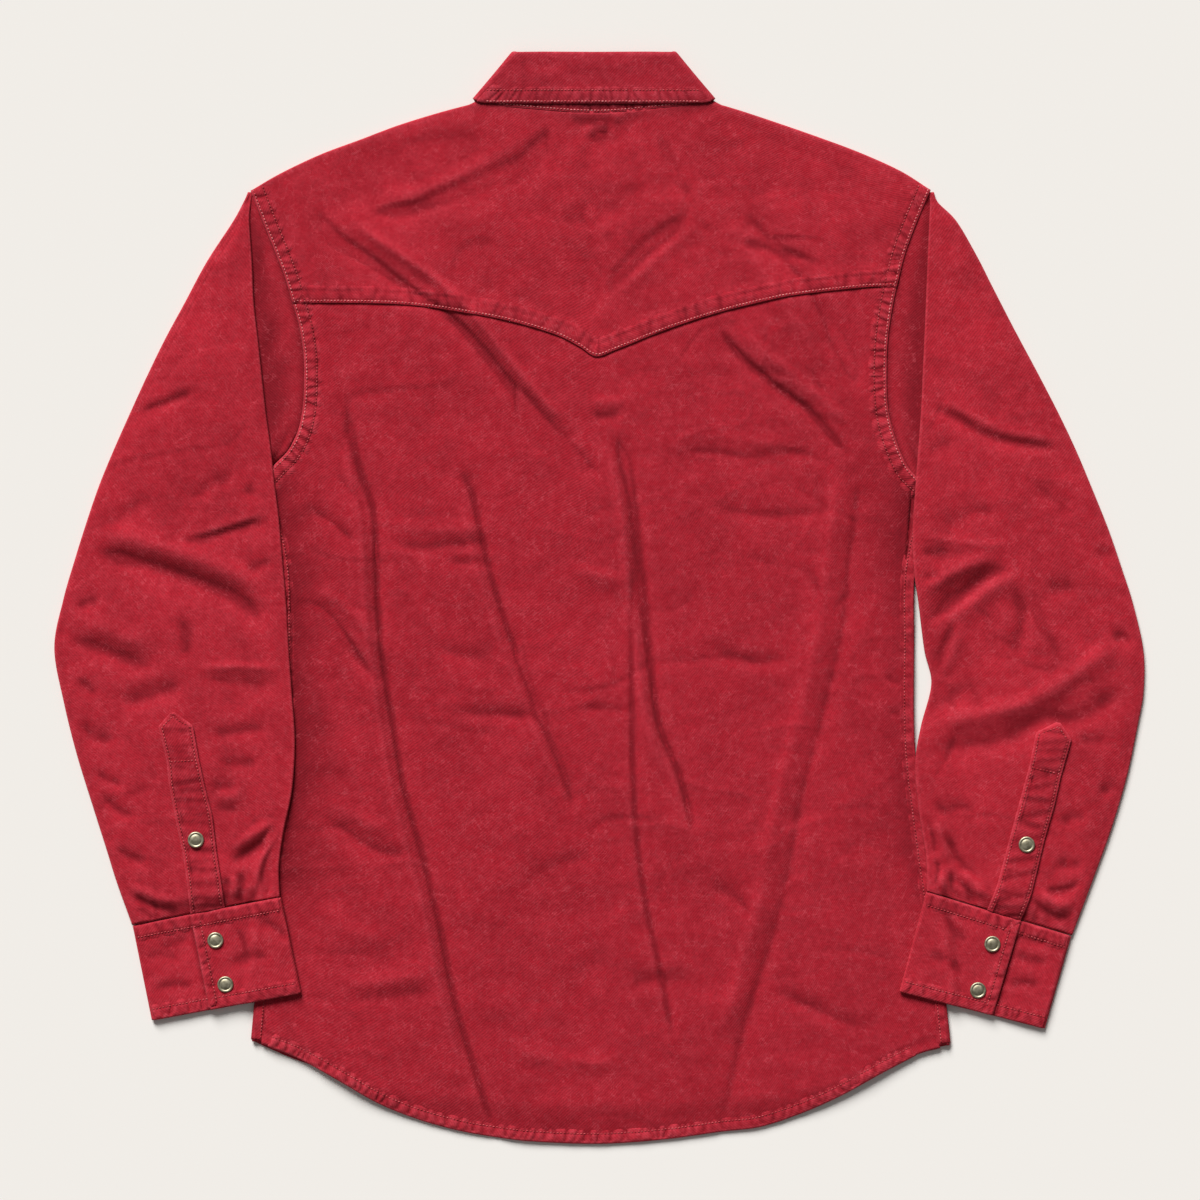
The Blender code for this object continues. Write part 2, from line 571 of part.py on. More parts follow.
def build_yoke(mat):
    """Back part, shoulder folds and the two front parts in one wall."""
    top = shoulder_and_neck()
    columns = len(top)
    first, last = SHOULDER_COLUMNS, columns - 1 - SHOULDER_COLUMNS
    turn = FOLD_RISE / 2
    top = [(x, y if first < c < last else y - turn - CLOTH / 2)
           for c, (x, y) in enumerate(top)]
    seam = yoke_seam()
    sides = []
    for side, end in ((-1, 0), (1, -1)):
        arm = armhole(side, top[end][1], seam[end][1])
        fine = split(arm, [1, 2, 2, 3])
        fine.insert(len(fine) - 1, lerp(fine[-1], fine[-2], 0.7))
        sides.append(fine)
    top[0], top[-1] = sides[0][0], sides[1][0]
    back_rows = coons(top, seam, sides[0], sides[1])
    points = []
    up = []
    fronts = {-1: front_seam(-1), 1: front_seam(1)[::-1]}
    for share in (0.0, 0.28, 1.0):
        for c in range(columns):
            x, y = top[c]
            low = (x, y - FRONT_YOKE)
            if c <= first:
                low = fronts[-1][c]
            if c >= last:
                low = fronts[1][c - last]
            x, y = lerp(low, top[c], share)
            if c == 0 or c == columns - 1:
                x = armhole(-1 if c == 0 else 1, y, 100.0)[0][0]
            points.append((x, y, side_front_height(x, y)))
            up.append(CLOTH / 2)
    for arc in (-60.0, -20.0, 20.0, 60.0):
        for x, y in top:
            low = side_front_height(x, y)
            points.append((x, y + turn * math.cos(math.radians(arc)),
                           low + turn + turn * math.sin(math.radians(arc))))
            up.append(CLOTH / 2)
    for r, row in enumerate(back_rows):
        for c, (x, y) in enumerate(row):
            height = back_height(x, y)
            if r == 0:
                height = side_front_height(x, y) + FOLD_RISE
            points.append((x, y, height))
            sewn = r >= len(back_rows) - 2 and 0 < c < columns - 1
            up.append(CLOTH / 2 + (BAND_RISE if sewn else 0.0))
    turned = 7

    def keep(r, c):
        return r >= turned or c < first or c >= last

    faces = grid_faces(turned + len(back_rows), columns, keep=keep)
    return wall("yoke", points, faces, mat, up, [CLOTH / 2] * len(points))


def build_front(name, side, height, mat):
    """Front panel with its side edge turned over onto the back."""
    flank = SIDE_LEFT if side < 0 else SIDE_RIGHT
    neck = NECK_FRONT_LEFT if side < 0 else NECK_FRONT_RIGHT
    throat = THROAT_LEFT if side < 0 else THROAT_RIGHT
    side_rows = SIDE_ROWS_LEFT if side < 0 else SIDE_ROWS_RIGHT
    turn = FOLD_RISE / 2
    inset = -side * (turn + CLOTH / 2)
    top = shifted(front_seam(side), 0.0, -GAP)
    top += [(x, at_x(neck, x)) for x, _ in throat]
    under_y = ARMHOLE_LEFT[-1][1] if side < 0 else ARMHOLE_RIGHT[-1][1]
    arm = armhole(side, top[0][1], under_y)
    top[0] = arm[0]
    under = (arm[-1][0] + inset, under_y)
    arm[-1] = under
    outer = arm + [(at_y(flank, y) + inset, y) for y in side_rows]
    hem_start = outer[-1]
    inner_start = throat[0][1] * 1.08
    hem = []
    for k in range(SHOULDER_COLUMNS + 1):
        x = hem_start[0] + (inner_start - hem_start[0]) * k / (SHOULDER_COLUMNS + 0.6)
        hem.append((x, at_x(HEM_FRONT, x)))
    hem[0] = hem_start
    hem += [(x, at_x(HEM_FRONT, x)) for _, x in throat]
    middle = [lerp(top[-1], hem[-1], k / (len(outer) - 1)) for k in range(len(outer))]
    rows = coons(top, hem, outer, middle)
    wraps = 5
    points = []
    for row in rows:
        x0, y0 = row[0]
        low = side_front_height(x0, y0)
        line = [(x0 - side * (SIDE_TURN - turn - CLOTH / 2), y0, low + FOLD_RISE),
                (x0, y0, low + FOLD_RISE)]
        for arc in (50.0, 0.0, -50.0):
            line.append((x0 + side * turn * math.cos(math.radians(arc)), y0,
                         low + turn + turn * math.sin(math.radians(arc))))
        points += line + [(x, y, height(x, y)) for x, y in row]
    first_side_row = len(arm) - 1

    def keep(r, c):
        return c >= wraps or r >= first_side_row

    faces = grid_faces(len(rows), wraps + len(top), keep=keep)
    if side < 0:
        faces = [tuple(reversed(f)) for f in faces]
    return wall(name, points, faces, mat, [CLOTH / 2] * len(points),
                [CLOTH / 2] * len(points))


# ---- sleeves
INNER_TURN = 0.85     # radius of the inner edge
OUTER_TURN = 1.1      # radius of the outer edge
OVER_RISE = 3.6       # rise of the lower layer where it lies over the body
PUFF = 1.6            # fullness of the upper layer
STRIP_UNDER = 5.0     # how far the sewn-in cloth reaches under the inner edge
STRIP_END_Y = 97.5    # where that cloth passes under the body's edge


def sleeve_frame(side, row, is_open):
    """Centres of the inner and outer turn, the way out and the lower layer's
    height as a function of the distance from the inner centre."""
    outer_x, outer_y, inner_x, inner_y, rest = row
    width = math.dist((outer_x, outer_y), (inner_x, inner_y))
    out = ((outer_x - inner_x) / width, (outer_y - inner_y) / width)
    half = CLOTH / 2
    inner = (inner_x + out[0] * (INNER_TURN + half), inner_y + out[1] * (INNER_TURN + half))
    outer = (outer_x - out[0] * (OUTER_TURN + half), outer_y - out[1] * (OUTER_TURN + half))
    run = math.dist(inner, outer)
    if is_open:
        head, foot, rise = 6.0, 16.0, rest - FRONT_Z
        if run < 20.0:
            head, foot = run * 0.25, run * 0.9
    else:
        side_x = abs(at_y(SIDE_LEFT if side < 0 else SIDE_RIGHT, inner_y))
        head = side_x + 2.0 - side * inner[0]
        foot, rise = head + 10.0, OVER_RISE

    def low(reach):
        return FRONT_Z + rise * smooth((foot - reach) / (foot - head))

    return inner, outer, out, run, head, foot, low


def sleeve_row(side, row, is_open):
    """Middle points once round a section, from the inner edge over the upper
    layer to the outer edge and back along the lower layer."""
    inner, outer, out, run, head, foot, low = sleeve_frame(side, row, is_open)

    def at(point, reach, z):
        return (point[0] + out[0] * reach, point[1] + out[1] * reach, z)

    slant = 0.707
    base = low(0.0)
    section = [
        (*inner, base),
        at(inner, -INNER_TURN * slant, base + INNER_TURN * (1 - slant)),
        at(inner, -INNER_TURN, base + INNER_TURN),
        at(inner, -INNER_TURN * slant, base + INNER_TURN * (1 + slant)),
        (*inner, base + 2 * INNER_TURN),
    ]
    high = base + 2 * INNER_TURN
    outer_high = FRONT_Z + 2 * OUTER_TURN
    covered = max(head, 1.0) + 2.0
    stations = (0.5 * covered, covered, covered + 8.0, covered + 16.0, covered + 28.0)
    upper = len(stations) + 4
    for k in range(upper):
        share = (k + 1) / (upper + 1)
        if k < len(stations):
            share = min(stations[k] / run, share)
        x, y = lerp(inner, outer, share)
        fall = smooth((share * run - covered) / max(2.0, min(20.0, run - covered - 3.0)))
        z = high + (outer_high - high) * fall
        z += PUFF * min(1.0, run / 80.0) * math.sin(math.pi * share) ** 0.7 * fall
        edge_fade = smooth((1.0 - share) * run / 20.0) * fall
        z += fold_height(x, y, SLEEVE_FOLDS) * edge_fade
        section.append((x, y, max(z, FRONT_Z + CLOTH + 0.7)))
    section += [
        (*outer, outer_high),
        at(outer, OUTER_TURN * slant, FRONT_Z + OUTER_TURN * (1 + slant)),
        at(outer, OUTER_TURN, FRONT_Z + OUTER_TURN),
        at(outer, OUTER_TURN * slant, FRONT_Z + OUTER_TURN * (1 - slant)),
        (*outer, FRONT_Z),
    ]
    first = max(head, 1.0)
    step = (foot - head) / 4
    marks = [first * 0.5, first, first + step, first + 2 * step, first + 3 * step,
             first + 4 * step, first + 60.0, first + 120.0]
    lower = []
    for k, reach in enumerate(marks):
        share = min(reach / run, (k + 1) / (len(marks) + 1))
        lower.append((*lerp(inner, outer, share), low(share * run)))
    return section + lower[::-1]


def build_strip(name, side, table, mat):
    """Cloth between the armhole seam and the underside of the inner edge."""
    points = []
    rows = []
    for row in table[:SLEEVE_OPEN_ROWS]:
        inner, _, out, run, _, _, low = sleeve_frame(side, row, True)
        rows.append((row[3], inner, out, min(STRIP_UNDER, run * 0.7), low(0.0)))
    y, inner, out, under, rest = rows[-1]
    end_inner = lerp((row[2], row[3]), (table[SLEEVE_OPEN_ROWS][2], table[SLEEVE_OPEN_ROWS][3]),
                     (row[3] - STRIP_END_Y) / (row[3] - table[SLEEVE_OPEN_ROWS][3]))
    reach = INNER_TURN + CLOTH / 2
    end_inner = (end_inner[0] + out[0] * reach, end_inner[1] + out[1] * reach)
    rows.append((STRIP_END_Y, end_inner, out, under, rest))
    columns = 5
    for y, inner, out, under, rest in rows:
        apart = 0.35 + 0.5 * smooth((140.0 - y) / 30.0)
        seam = (armhole(side, y, 80.0)[0][0] + side * apart, y)
        end = (inner[0] + out[0] * under, inner[1] + out[1] * under)
        for c in range(columns):
            share = c / (columns - 1)
            x, py = lerp(seam, end, share)
            z = FRONT_Z + FOLD_RISE + (rest - 0.5 - FRONT_Z - FOLD_RISE) * smooth(share * 1.4)
            points.append((x, py, z))
    faces = grid_faces(len(rows), columns)
    if side < 0:
        faces = [tuple(reversed(f)) for f in faces]
    half = [CLOTH / 2] * len(points)
    return wall(name, points, faces, mat, half, half)


def build_sleeve(name, side, table, mat):
    """Flattened tube with the sewn-in cloth joined to its lower layer."""
    points = []
    for r, row in enumerate(table):
        section = sleeve_row(side, row, r < SLEEVE_OPEN_ROWS)
        columns = len(section)
        points += section + section[:1]
    columns += 1
    faces = []
    for f in grid_faces(len(table), columns):
        faces.append(tuple(i - columns + 1 if i % columns == columns - 1 else i for i in f))
    if side < 0:
        faces = [tuple(reversed(f)) for f in faces]
    half = [CLOTH / 2] * len(points)
    tube = wall(name, points, faces, mat, half, half)
    strip = build_strip(f"{name}_strip_cutter", side, table, mat)
    strip.hide_render = True
    strip.display_type = "WIRE"
    join = tube.modifiers.new("sewn_in", "BOOLEAN")
    join.operation = "UNION"
    join.solver = "EXACT"
    join.object = strip
    return tube


def surface_of(*items):
    """Search trees of finished walls, for resting smaller pieces on them."""
    trees = []
    for item in items:
        points = [v.co.copy() for v in item.data.vertices]
        faces = [tuple(p.vertices) for p in item.data.polygons]
        trees.append(BVHTree.FromPolygons(points, faces))
    return trees


def height_on(trees, x, y, reach=0.0, ways=8):
    """Highest place of the walls at and around a point, in millimetres."""
    spots = [(x, y)]
    for k in range(ways if reach > 0.0 else 0):
        turn = 2.0 * math.pi * k / ways
        spots.append((x + reach * math.cos(turn), y + reach * math.sin(turn)))
    top = 0.0
    for px, py in spots:
        for tree in trees:
            hit = tree.ray_cast(Vector((px * MM, py * MM, 1.0)), Vector((0.0, 0.0, -1.0)))
            if hit[0] is not None:
                top = max(top, hit[0].z / MM)
    return top


def build_sleeve_placket(name, side, table, sleeve, mat):
    trees = surface_of(sleeve)
    across = 5
    points = []
    for left_x, left_y, right_x, right_y in table:
        for c in range(across):
            x, y = lerp((left_x, left_y), (right_x, right_y), c / (across - 1))
            points.append((x, y, height_on(trees, x, y, 4.0) + 0.35 + CLOTH / 2))
    faces = grid_faces(len(table), across)
    half = [CLOTH / 2] * len(points)
    return wall(name, points, faces, mat, half, half)


def build_cuff(name, side, corners, mat):
    outer_top, outer_bottom, inner_top, inner_bottom, flap_top, flap_bottom = corners
    half = FALL_CLOTH / 2
    turn = 1.1
    rise = 2 * turn
    slant = 0.707
    low = half
    points = []
    shares = (0.0, 0.13, 0.87, 1.0)

    def resting(x, y):
        return low + OVER_RISE * over_body(x, y)

    for v in shares:
        outer = lerp(outer_top, outer_bottom, v)
        inner = lerp(inner_top, inner_bottom, v)
        flap = lerp(flap_top, flap_bottom, v)
        width = math.dist(outer, inner)
        out = ((outer[0] - inner[0]) / width, (outer[1] - inner[1]) / width)
        inner = (inner[0] + out[0] * (turn + half), inner[1] + out[1] * (turn + half))
        outer = (outer[0] - out[0] * (turn + half), outer[1] - out[1] * (turn + half))

        def at(point, reach, z):
            return (point[0] + out[0] * reach, point[1] + out[1] * reach, z)

        # stations counted from the inner edge, finer where the cuff climbs
        # over the side edge of the body
        flap_run = math.dist(flap, inner)
        whole_run = math.dist(outer, inner)
        side_x = at_y(SIDE_LEFT if side < 0 else SIDE_RIGHT, inner[1])
        climb = abs(side_x - inner[0])
        reaches = [climb * 0.5] + [climb + step for step in (1.5, 4.0, 6.5, 9.0, 12.0)]
        spare = flap_run - reaches[-1]
        reaches += [reaches[-1] + spare * 0.33, reaches[-1] + spare * 0.66, flap_run]
        under_end = max(flap_run - CUFF_UNDERLAP, climb + 13.0)

        def spot(reach):
            return lerp(inner, outer, reach / whole_run)

        section = []
        for reach in reversed(reaches):
            x, y = spot(reach)
            lifted = smooth((reach - climb - 1.5) / 10.5)
            section.append((x, y, resting(x, y) + rise + 0.5 + (FALL_CLOTH + 0.4) * lifted))
        z = resting(*inner)
        section += [(*inner, z + rise), at(inner, -turn * slant, z + turn * (1 + slant)),
                    at(inner, -turn, z + turn), at(inner, -turn * slant, z + turn * (1 - slant)),
                    (*inner, z)]
        rest = [flap_run + (whole_run - flap_run) * share for share in (0.3, 0.6, 0.85)]
        for reach in reaches + rest:
            x, y = spot(reach)
            section.append((x, y, resting(x, y)))
        section += [(*outer, low), at(outer, turn * slant, low + turn * (1 - slant)),
                    at(outer, turn, low + turn), at(outer, turn * slant, low + turn * (1 + slant)),
                    (*outer, low + rise)]
        under = [reach for reach in reversed(rest)] + [flap_run, (flap_run + under_end) / 2,
                                                       under_end]
        for reach in under:
            x, y = spot(reach)
            section.append((x, y, low + rise + 0.5))
        points += section
    columns = len(section)
    faces = grid_faces(len(shares), columns)
    if side > 0:
        faces = [tuple(reversed(f)) for f in faces]
    return wall(name, points, faces, mat, [half] * len(points), [half] * len(points))


# ---- collar
def collar_stations():
    """Full run of stations from the left front end round the back to the right."""
    stations = []
    for side, table in ((-1, COLLAR[:0:-1]), (1, COLLAR)):
        for row in table:
            stations.append((side, *row))
    return stations


def build_stand(mat):
    stations = collar_stations()
    shares = (0.0, 0.5, 1.0)
    points = []
    for share in shares:
        for side, nx, ny, fx, fy, _, _, turn in stations:
            tall = math.dist((nx, ny), (fx, fy))
            x, y = lerp((nx, ny), (fx, fy), 0.35 / tall + (1.0 - 2.2 / tall) * share)
            angle = math.radians(turn)
            out = STAND_TURN * math.cos(angle)
            points.append((NECK_CENTRE + side * (x + out * COLLAR_SIDE[0]),
                           y + out * COLLAR_SIDE[1],
                           COLLAR_MID + STAND_TURN * math.sin(angle)))
    faces = grid_faces(len(shares), len(stations))
    half = [BAND_CLOTH / 2] * len(points)
    return wall("collar_stand", points, faces, mat, half, half)


def build_fall(mat):
    """Turned over the top of the stand and lying on it."""
    stations = collar_stations()
    step = FALL_TURN - STAND_TURN
    # share of the way from the fold to the outer edge, and rise off the stand
    profile = [(None, 0.0), (0.0, 0.12), (0.0, 0.5), (0.0, 0.88), (0.04, 1.0),
               (0.35, 1.0), (0.7, 1.0), (1.0, 1.0)]
    points = []
    for k, (share, rise) in enumerate(profile):
        for side, nx, ny, fx, fy, ox, oy, turn in stations:
            angle = math.radians(turn)
            tall = math.dist((nx, ny), (fx, fy))
            ahead = 0.1
            if share is not None:
                ahead = 0.85 * math.sin(math.pi * rise) if share == 0.0 else 0.0
            x, y = lerp((fx, fy), (ox, oy), share or 0.0)
            x += (fx - nx) / tall * ahead
            y += (fy - ny) / tall * ahead
            radius = STAND_TURN + step * rise
            out = radius * math.cos(angle)
            points.append((NECK_CENTRE + side * (x + out * COLLAR_SIDE[0]),
                           y + out * COLLAR_SIDE[1],
                           COLLAR_MID + radius * math.sin(angle)))
    faces = grid_faces(len(profile), len(stations))
    half = [FALL_CLOTH / 2] * len(points)
    return wall("collar_fall", points, faces, mat, half, half)


# ---- front placket and snaps
def lathe(centre_x, centre_y, profile, sides):
    """Points and faces of a turned disc; the profile runs from the middle of
    the bottom to the middle of the top as (radius, height)."""
    points = [(centre_x, centre_y, profile[0][1])]
    for radius, height in profile[1:-1]:
        for k in range(sides):
            turn = 2.0 * math.pi * k / sides
            points.append((centre_x + radius * math.cos(turn),
                           centre_y + radius * math.sin(turn), height))
    points.append((centre_x, centre_y, profile[-1][1]))
    last = len(points) - 1
    rings = len(profile) - 2
    faces = []
    for k in range(sides):
        n = (k + 1) % sides
        faces.append((0, 1 + n, 1 + k))
        for r in range(rings - 1):
            a = 1 + r * sides
            faces.append((a + k, a + n, a + sides + n, a + sides + k))
        top = 1 + (rings - 1) * sides
        faces.append((top + k, top + n, last))
    return points, faces


def front_snap_heights():
    return [FRONT_SNAP_TOP - FRONT_SNAP_PITCH * k for k in range(FRONT_SNAP_COUNT)]


def build_front_placket(mat):
    left = -PLACKET_HALF
    right = PLACKET_HALF
    top = 300.0
    bottom = HEM_FRONT[7][1]
    corners = [(left, bottom), (right, bottom), (right, top), (left, top)]
    points = [(x, y, 0.0) for x, y in corners] + [(x, y, PLACKET_THICK) for x, y in corners]
    faces = [(3, 2, 1, 0), (4, 5, 6, 7), (0, 1, 5, 4), (1, 2, 6, 5), (2, 3, 7, 6), (3, 0, 4, 7)]
    strip = solid("front_placket", points, faces, mat, rounded=False)
    cut_points = []
    cut_faces = []
    for y in front_snap_heights():
        pocket = [(0.0, -1.0), (SNAP_RADIUS + 0.35, -1.0), (SNAP_RADIUS + 0.35, POCKET_DEPTH),
                  (0.0, POCKET_DEPTH)]
        ring, ring_faces = lathe(0.0, y, pocket, SNAP_SIDES)
        cut_faces += [tuple(i + len(cut_points) for i in f) for f in ring_faces]
        cut_points += ring
    cutter = solid("front_pockets_cutter", cut_points, cut_faces, mat, rounded=False)
    cutter.hide_render = True
    cutter.display_type = "WIRE"
    cut = strip.modifiers.new("pockets", "BOOLEAN")
    cut.operation = "DIFFERENCE"
    cut.solver = "EXACT"
    cut.object = cutter
    return strip


def build_front_snaps(mat):
    profile = [(0.0, 0.0), (SNAP_RADIUS, 0.0), (SNAP_RADIUS, FRONT_SNAP_THICK),
               (0.0, FRONT_SNAP_THICK)]
    for k, y in enumerate(front_snap_heights()):
        points, faces = lathe(0.0, y, profile, SNAP_SIDES)
        solid(f"front_snap_{k + 1}", points, faces, mat, rounded=False)


def build_snap(name, x, y, carriers, mat):
    """Ring snap: rounded rim, hollow ring and low middle."""
    rest = height_on(carriers, x, y, SNAP_RADIUS, 16) + GAP
    r = SNAP_RADIUS
    profile = [(0.0, 0.0), (r * 0.93, 0.0), (r, 0.45), (r * 0.93, 1.05), (r * 0.78, 1.3),
               (r * 0.63, 1.05), (r * 0.52, 0.8), (r * 0.3, 1.15), (0.0, 1.3)]
    points, faces = lathe(x, y, [(a, rest + b) for a, b in profile], SNAP_SIDES)
    return solid(name, points, faces, mat)


def main():
    for item in list(bpy.data.objects):
        bpy.data.objects.remove(item, do_unlink=True)
    cotton = material("red_cotton", (0.35, 0.02, 0.03), 0.9)
    collar_cotton = material("red_cotton_collar", (0.34, 0.02, 0.03), 0.9)
    brass = material("snap_brass", (0.32, 0.26, 0.16), 0.4, 1.0)
    build_back(cotton)
    build_yoke(cotton)
    build_front("front_left", -1, left_front_height, cotton)
    build_front("front_right", 1, right_front_height, cotton)
    build_front_placket(cotton)
    build_front_snaps(brass)
    build_stand(collar_cotton)
    build_fall(collar_cotton)
    carriers = []
    for name, side, rows, placket_rows, corners in (
            ("left", -1, SLEEVE_LEFT, PLACKET_LEFT, CUFF_LEFT),
            ("right", 1, SLEEVE_RIGHT, PLACKET_RIGHT, CUFF_RIGHT)):
        sleeve = build_sleeve(f"sleeve_{name}", side, rows, cotton)
        placket = build_sleeve_placket(f"sleeve_placket_{name}", side, placket_rows,
                                       sleeve, cotton)
        cuff = build_cuff(f"cuff_{name}", side, corners, cotton)
        carriers += [placket, cuff]
    trees = surface_of(*carriers)
    for name, x, y in SNAPS:
        build_snap(name, x, y, trees, brass)


main()
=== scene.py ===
import math

import bpy
import numpy as np
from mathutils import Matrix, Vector
from mathutils.bvhtree import BVHTree


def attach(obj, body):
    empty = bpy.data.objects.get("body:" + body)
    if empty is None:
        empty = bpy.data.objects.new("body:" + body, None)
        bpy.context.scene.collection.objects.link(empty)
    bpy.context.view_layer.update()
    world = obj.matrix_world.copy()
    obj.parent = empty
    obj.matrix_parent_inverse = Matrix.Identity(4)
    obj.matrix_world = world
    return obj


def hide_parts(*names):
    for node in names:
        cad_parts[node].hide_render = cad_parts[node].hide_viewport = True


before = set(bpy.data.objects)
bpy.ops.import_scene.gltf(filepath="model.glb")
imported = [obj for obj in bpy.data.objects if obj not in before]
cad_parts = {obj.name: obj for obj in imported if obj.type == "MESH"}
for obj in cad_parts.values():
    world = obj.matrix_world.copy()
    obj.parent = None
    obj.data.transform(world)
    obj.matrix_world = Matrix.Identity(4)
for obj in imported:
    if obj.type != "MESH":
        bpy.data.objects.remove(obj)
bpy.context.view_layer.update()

# Looks of a western snap shirt that lies flat with its back up. Tables are in
# millimetres: x to the right, y toward the collar, z up from the floor. A side is
# -1 on the left and 1 on the right.
MM = 0.001

# ---- cloth and layers
PANEL = 0.9           # thickness of the panels
BAND = 1.0            # thickness of collar, cuffs and plackets
STRIP_THICK = 0.5     # thickness of the sewn edges
PLACKET_SHEET = 0.8   # thickness of the front placket
FRONT_Z = 0.6         # middle of the fronts
FOLD_RISE = 2.0       # back layer above the front layer at the edges
BACK_CLEAR = 1.15     # least distance of the back over the fronts
DOME_RISE = 2.3       # how much the middle of the back stands higher
NECK_LIFT = 2.0       # rise over the collar leaves
LEAF_MIDDLE = (-3.7, 330.0)  # of the collar leaves under the shirt
LEAF_REACH = (108.0, 92.0)
NECK_CENTRE = -3.7
FRONT_YOKE = 30.0     # how far the yoke reaches over the shoulder
SIDE_TURN = 8.0       # front cloth turned onto the back
TUCK = 3.0            # how far the back reaches under the yoke
PLACKET_HALF = 17.5
PLACKET_TOP = 300.0
SNAP_RADIUS = 6.0
FRONT_SNAPS = [268.0 - 84.0 * k for k in range(7)]
FRONT_SNAP_Z = 0.56   # back of the front snaps, which face down
UNDERARM_ROW = 8      # last sleeve row sewn to the armhole
ARMHOLE_FOOT = 92.0   # y where the back's edge leaves the armhole
INNER_TURN = 0.85     # radius of a sleeve's inner fold
OUTER_TURN = 1.1      # radius of its outer fold
OVER_RISE = 3.6       # rise of a sleeve over the body
PUFF = 4.2            # fullness of a sleeve
ARCS = np.radians((-60.0, -30.0, 0.0, 30.0, 60.0))  # steps round a folded edge
GUSSET_UNDER = 5.0    # how far a gusset reaches under the sleeve's edge
CUFF_TURN = 1.1       # radius of a cuff's folds
CUFF_UNDERLAP = 28.0  # how far a cuff's lower end reaches under its flap
COLLAR_MID = 3.7      # height of the collar's folded edge
STAND_TURN = 0.9      # radius at which the stand turns, and the fall round it
FALL_TURN = 2.85
COLLAR_TOP = 402.6    # y of the collar's fold
COLLAR_SIDE = (0.80, 0.60)  # way outward at the fold's ends

# ---- sewn edges and their stitches
YOKE_BAND = 8.5       # allowance above the yoke's edge
ARM_BAND = 9.0        # allowance beside the armhole, on the body
HEM_BAND = 7.2
SIDE_BAND = 8.0       # felled strip at the side seams
COLLAR_BAND = 9.2
EDGE_ROW = 1.6        # outermost row of stitches, from the edge
STITCH = 2.5          # from one stitch to the next
GAP = 1.0             # between two threads
THREAD = 0.36         # half thickness of the thread
STITCH_SIDES = 4

# ---- picture
CAMERA_HEIGHT = 3.0
FRAME_WIDTH = 0.888   # metres across the picture at the floor
AIM = (0.0007, -0.0022)
KEY_FROM = (-0.36, 1.0, 0.66)
KEY_STRENGTH = 4.9
KEY_ANGLE = 30.0

# ---- outlines and sections (x, y)
SHOULDER_LEFT = [(-257.3, 300.6), (-236.1, 313.0), (-206.5, 327.1), (-176.9, 338.2), (-147.3, 349.3),
    (-117.7, 358.2), (-89.5, 365.6)]
NECK_BACK = [(-89.5, 365.6), (-68.0, 363.6), (-46.3, 361.6), (-22.0, 359.6), (0.7, 358.9), (20.0, 360.0),
    (38.5, 361.9), (62.0, 364.2), (84.0, 365.6)]
SHOULDER_RIGHT = [(84.0, 365.6), (104.3, 359.6), (133.9, 350.0), (163.5, 339.7), (193.1, 328.6),
    (222.7, 315.2), (244.9, 301.2)]
ARMHOLE_LEFT = [(-257.3, 300.6), (-248.6, 278.2), (-240.2, 257.5), (-231.6, 235.3), (-226.4, 217.6),
    (-221.3, 199.8), (-218.1, 179.5), (-217.6, 162.8), (-218.4, 142.1), (-222.0, 123.6), (-229.1, 108.8),
    (-240.2, 97.0), (-252.3, 83.6)]
ARMHOLE_RIGHT = [(244.9, 301.2), (234.4, 276.3), (226.4, 254.8), (220.0, 229.7), (216.3, 211.6),
    (213.3, 190.2), (212.4, 168.7), (212.8, 147.3), (215.3, 129.5), (220.9, 111.3), (227.9, 96.2),
    (236.5, 87.0), (246.4, 80.7)]
SIDE_LEFT = [(-252.3, 83.6), (-237.5, 27.4), (-235.3, -31.8), (-235.3, -109.5), (-242.0, -185.0),
    (-249.4, -246.4), (-256.8, -328.6)]
SIDE_RIGHT = [(246.4, 80.7), (233.4, 20.0), (232.4, -31.8), (232.9, -109.5), (241.0, -180.0),
    (249.4, -239.0), (259.4, -331.5)]
YOKE_SEAM = [(-226.4, 217.6), (-197.6, 217.6), (-172.4, 217.3), (-146.5, 216.3), (-121.4, 213.9),
    (-95.5, 209.4), (-70.3, 205.0), (-45.1, 198.3), (-28.1, 192.4), (-14.1, 185.0), (-2.2, 177.9),
    (12.6, 182.8), (40.0, 193.9), (66.6, 203.5), (93.2, 211.6), (120.6, 218.3), (147.3, 223.5),
    (174.3, 226.8), (201.3, 229.4), (220.0, 229.7)]
HEM_BACK = [(-256.8, -328.6), (-244.9, -331.5), (-221.3, -341.1), (-191.7, -357.4), (-162.1, -374.4),
    (-132.5, -386.3), (-102.9, -394.4), (-73.3, -399.6), (-43.7, -402.6), (0.7, -404.0), (45.1, -401.1),
    (89.5, -395.2), (119.1, -391.5), (148.7, -381.8), (178.3, -368.5), (207.9, -352.2), (234.3, -338.6),
    (259.4, -331.5)]
HEM_FRONT = [(-256.8, -328.6), (-244.9, -333.5), (-230.0, -340.0), (-215.0, -345.5), (-180.0, -355.0),
    (-147.3, -361.1), (-75.0, -368.0), (0.0, -370.7), (75.0, -368.0), (141.3, -361.1), (200.0, -347.0),
    (233.8, -336.5), (259.4, -331.5)]
NECK_FRONT_LEFT = [(-89.5, 365.6), (-87.0, 336.0), (-72.0, 315.0), (-48.0, 302.0), (-18.0, 296.0)]
NECK_FRONT_RIGHT = [(84.0, 365.6), (80.0, 336.0), (64.0, 315.0), (40.0, 302.0), (10.0, 296.0),
    (-14.0, 295.6)]
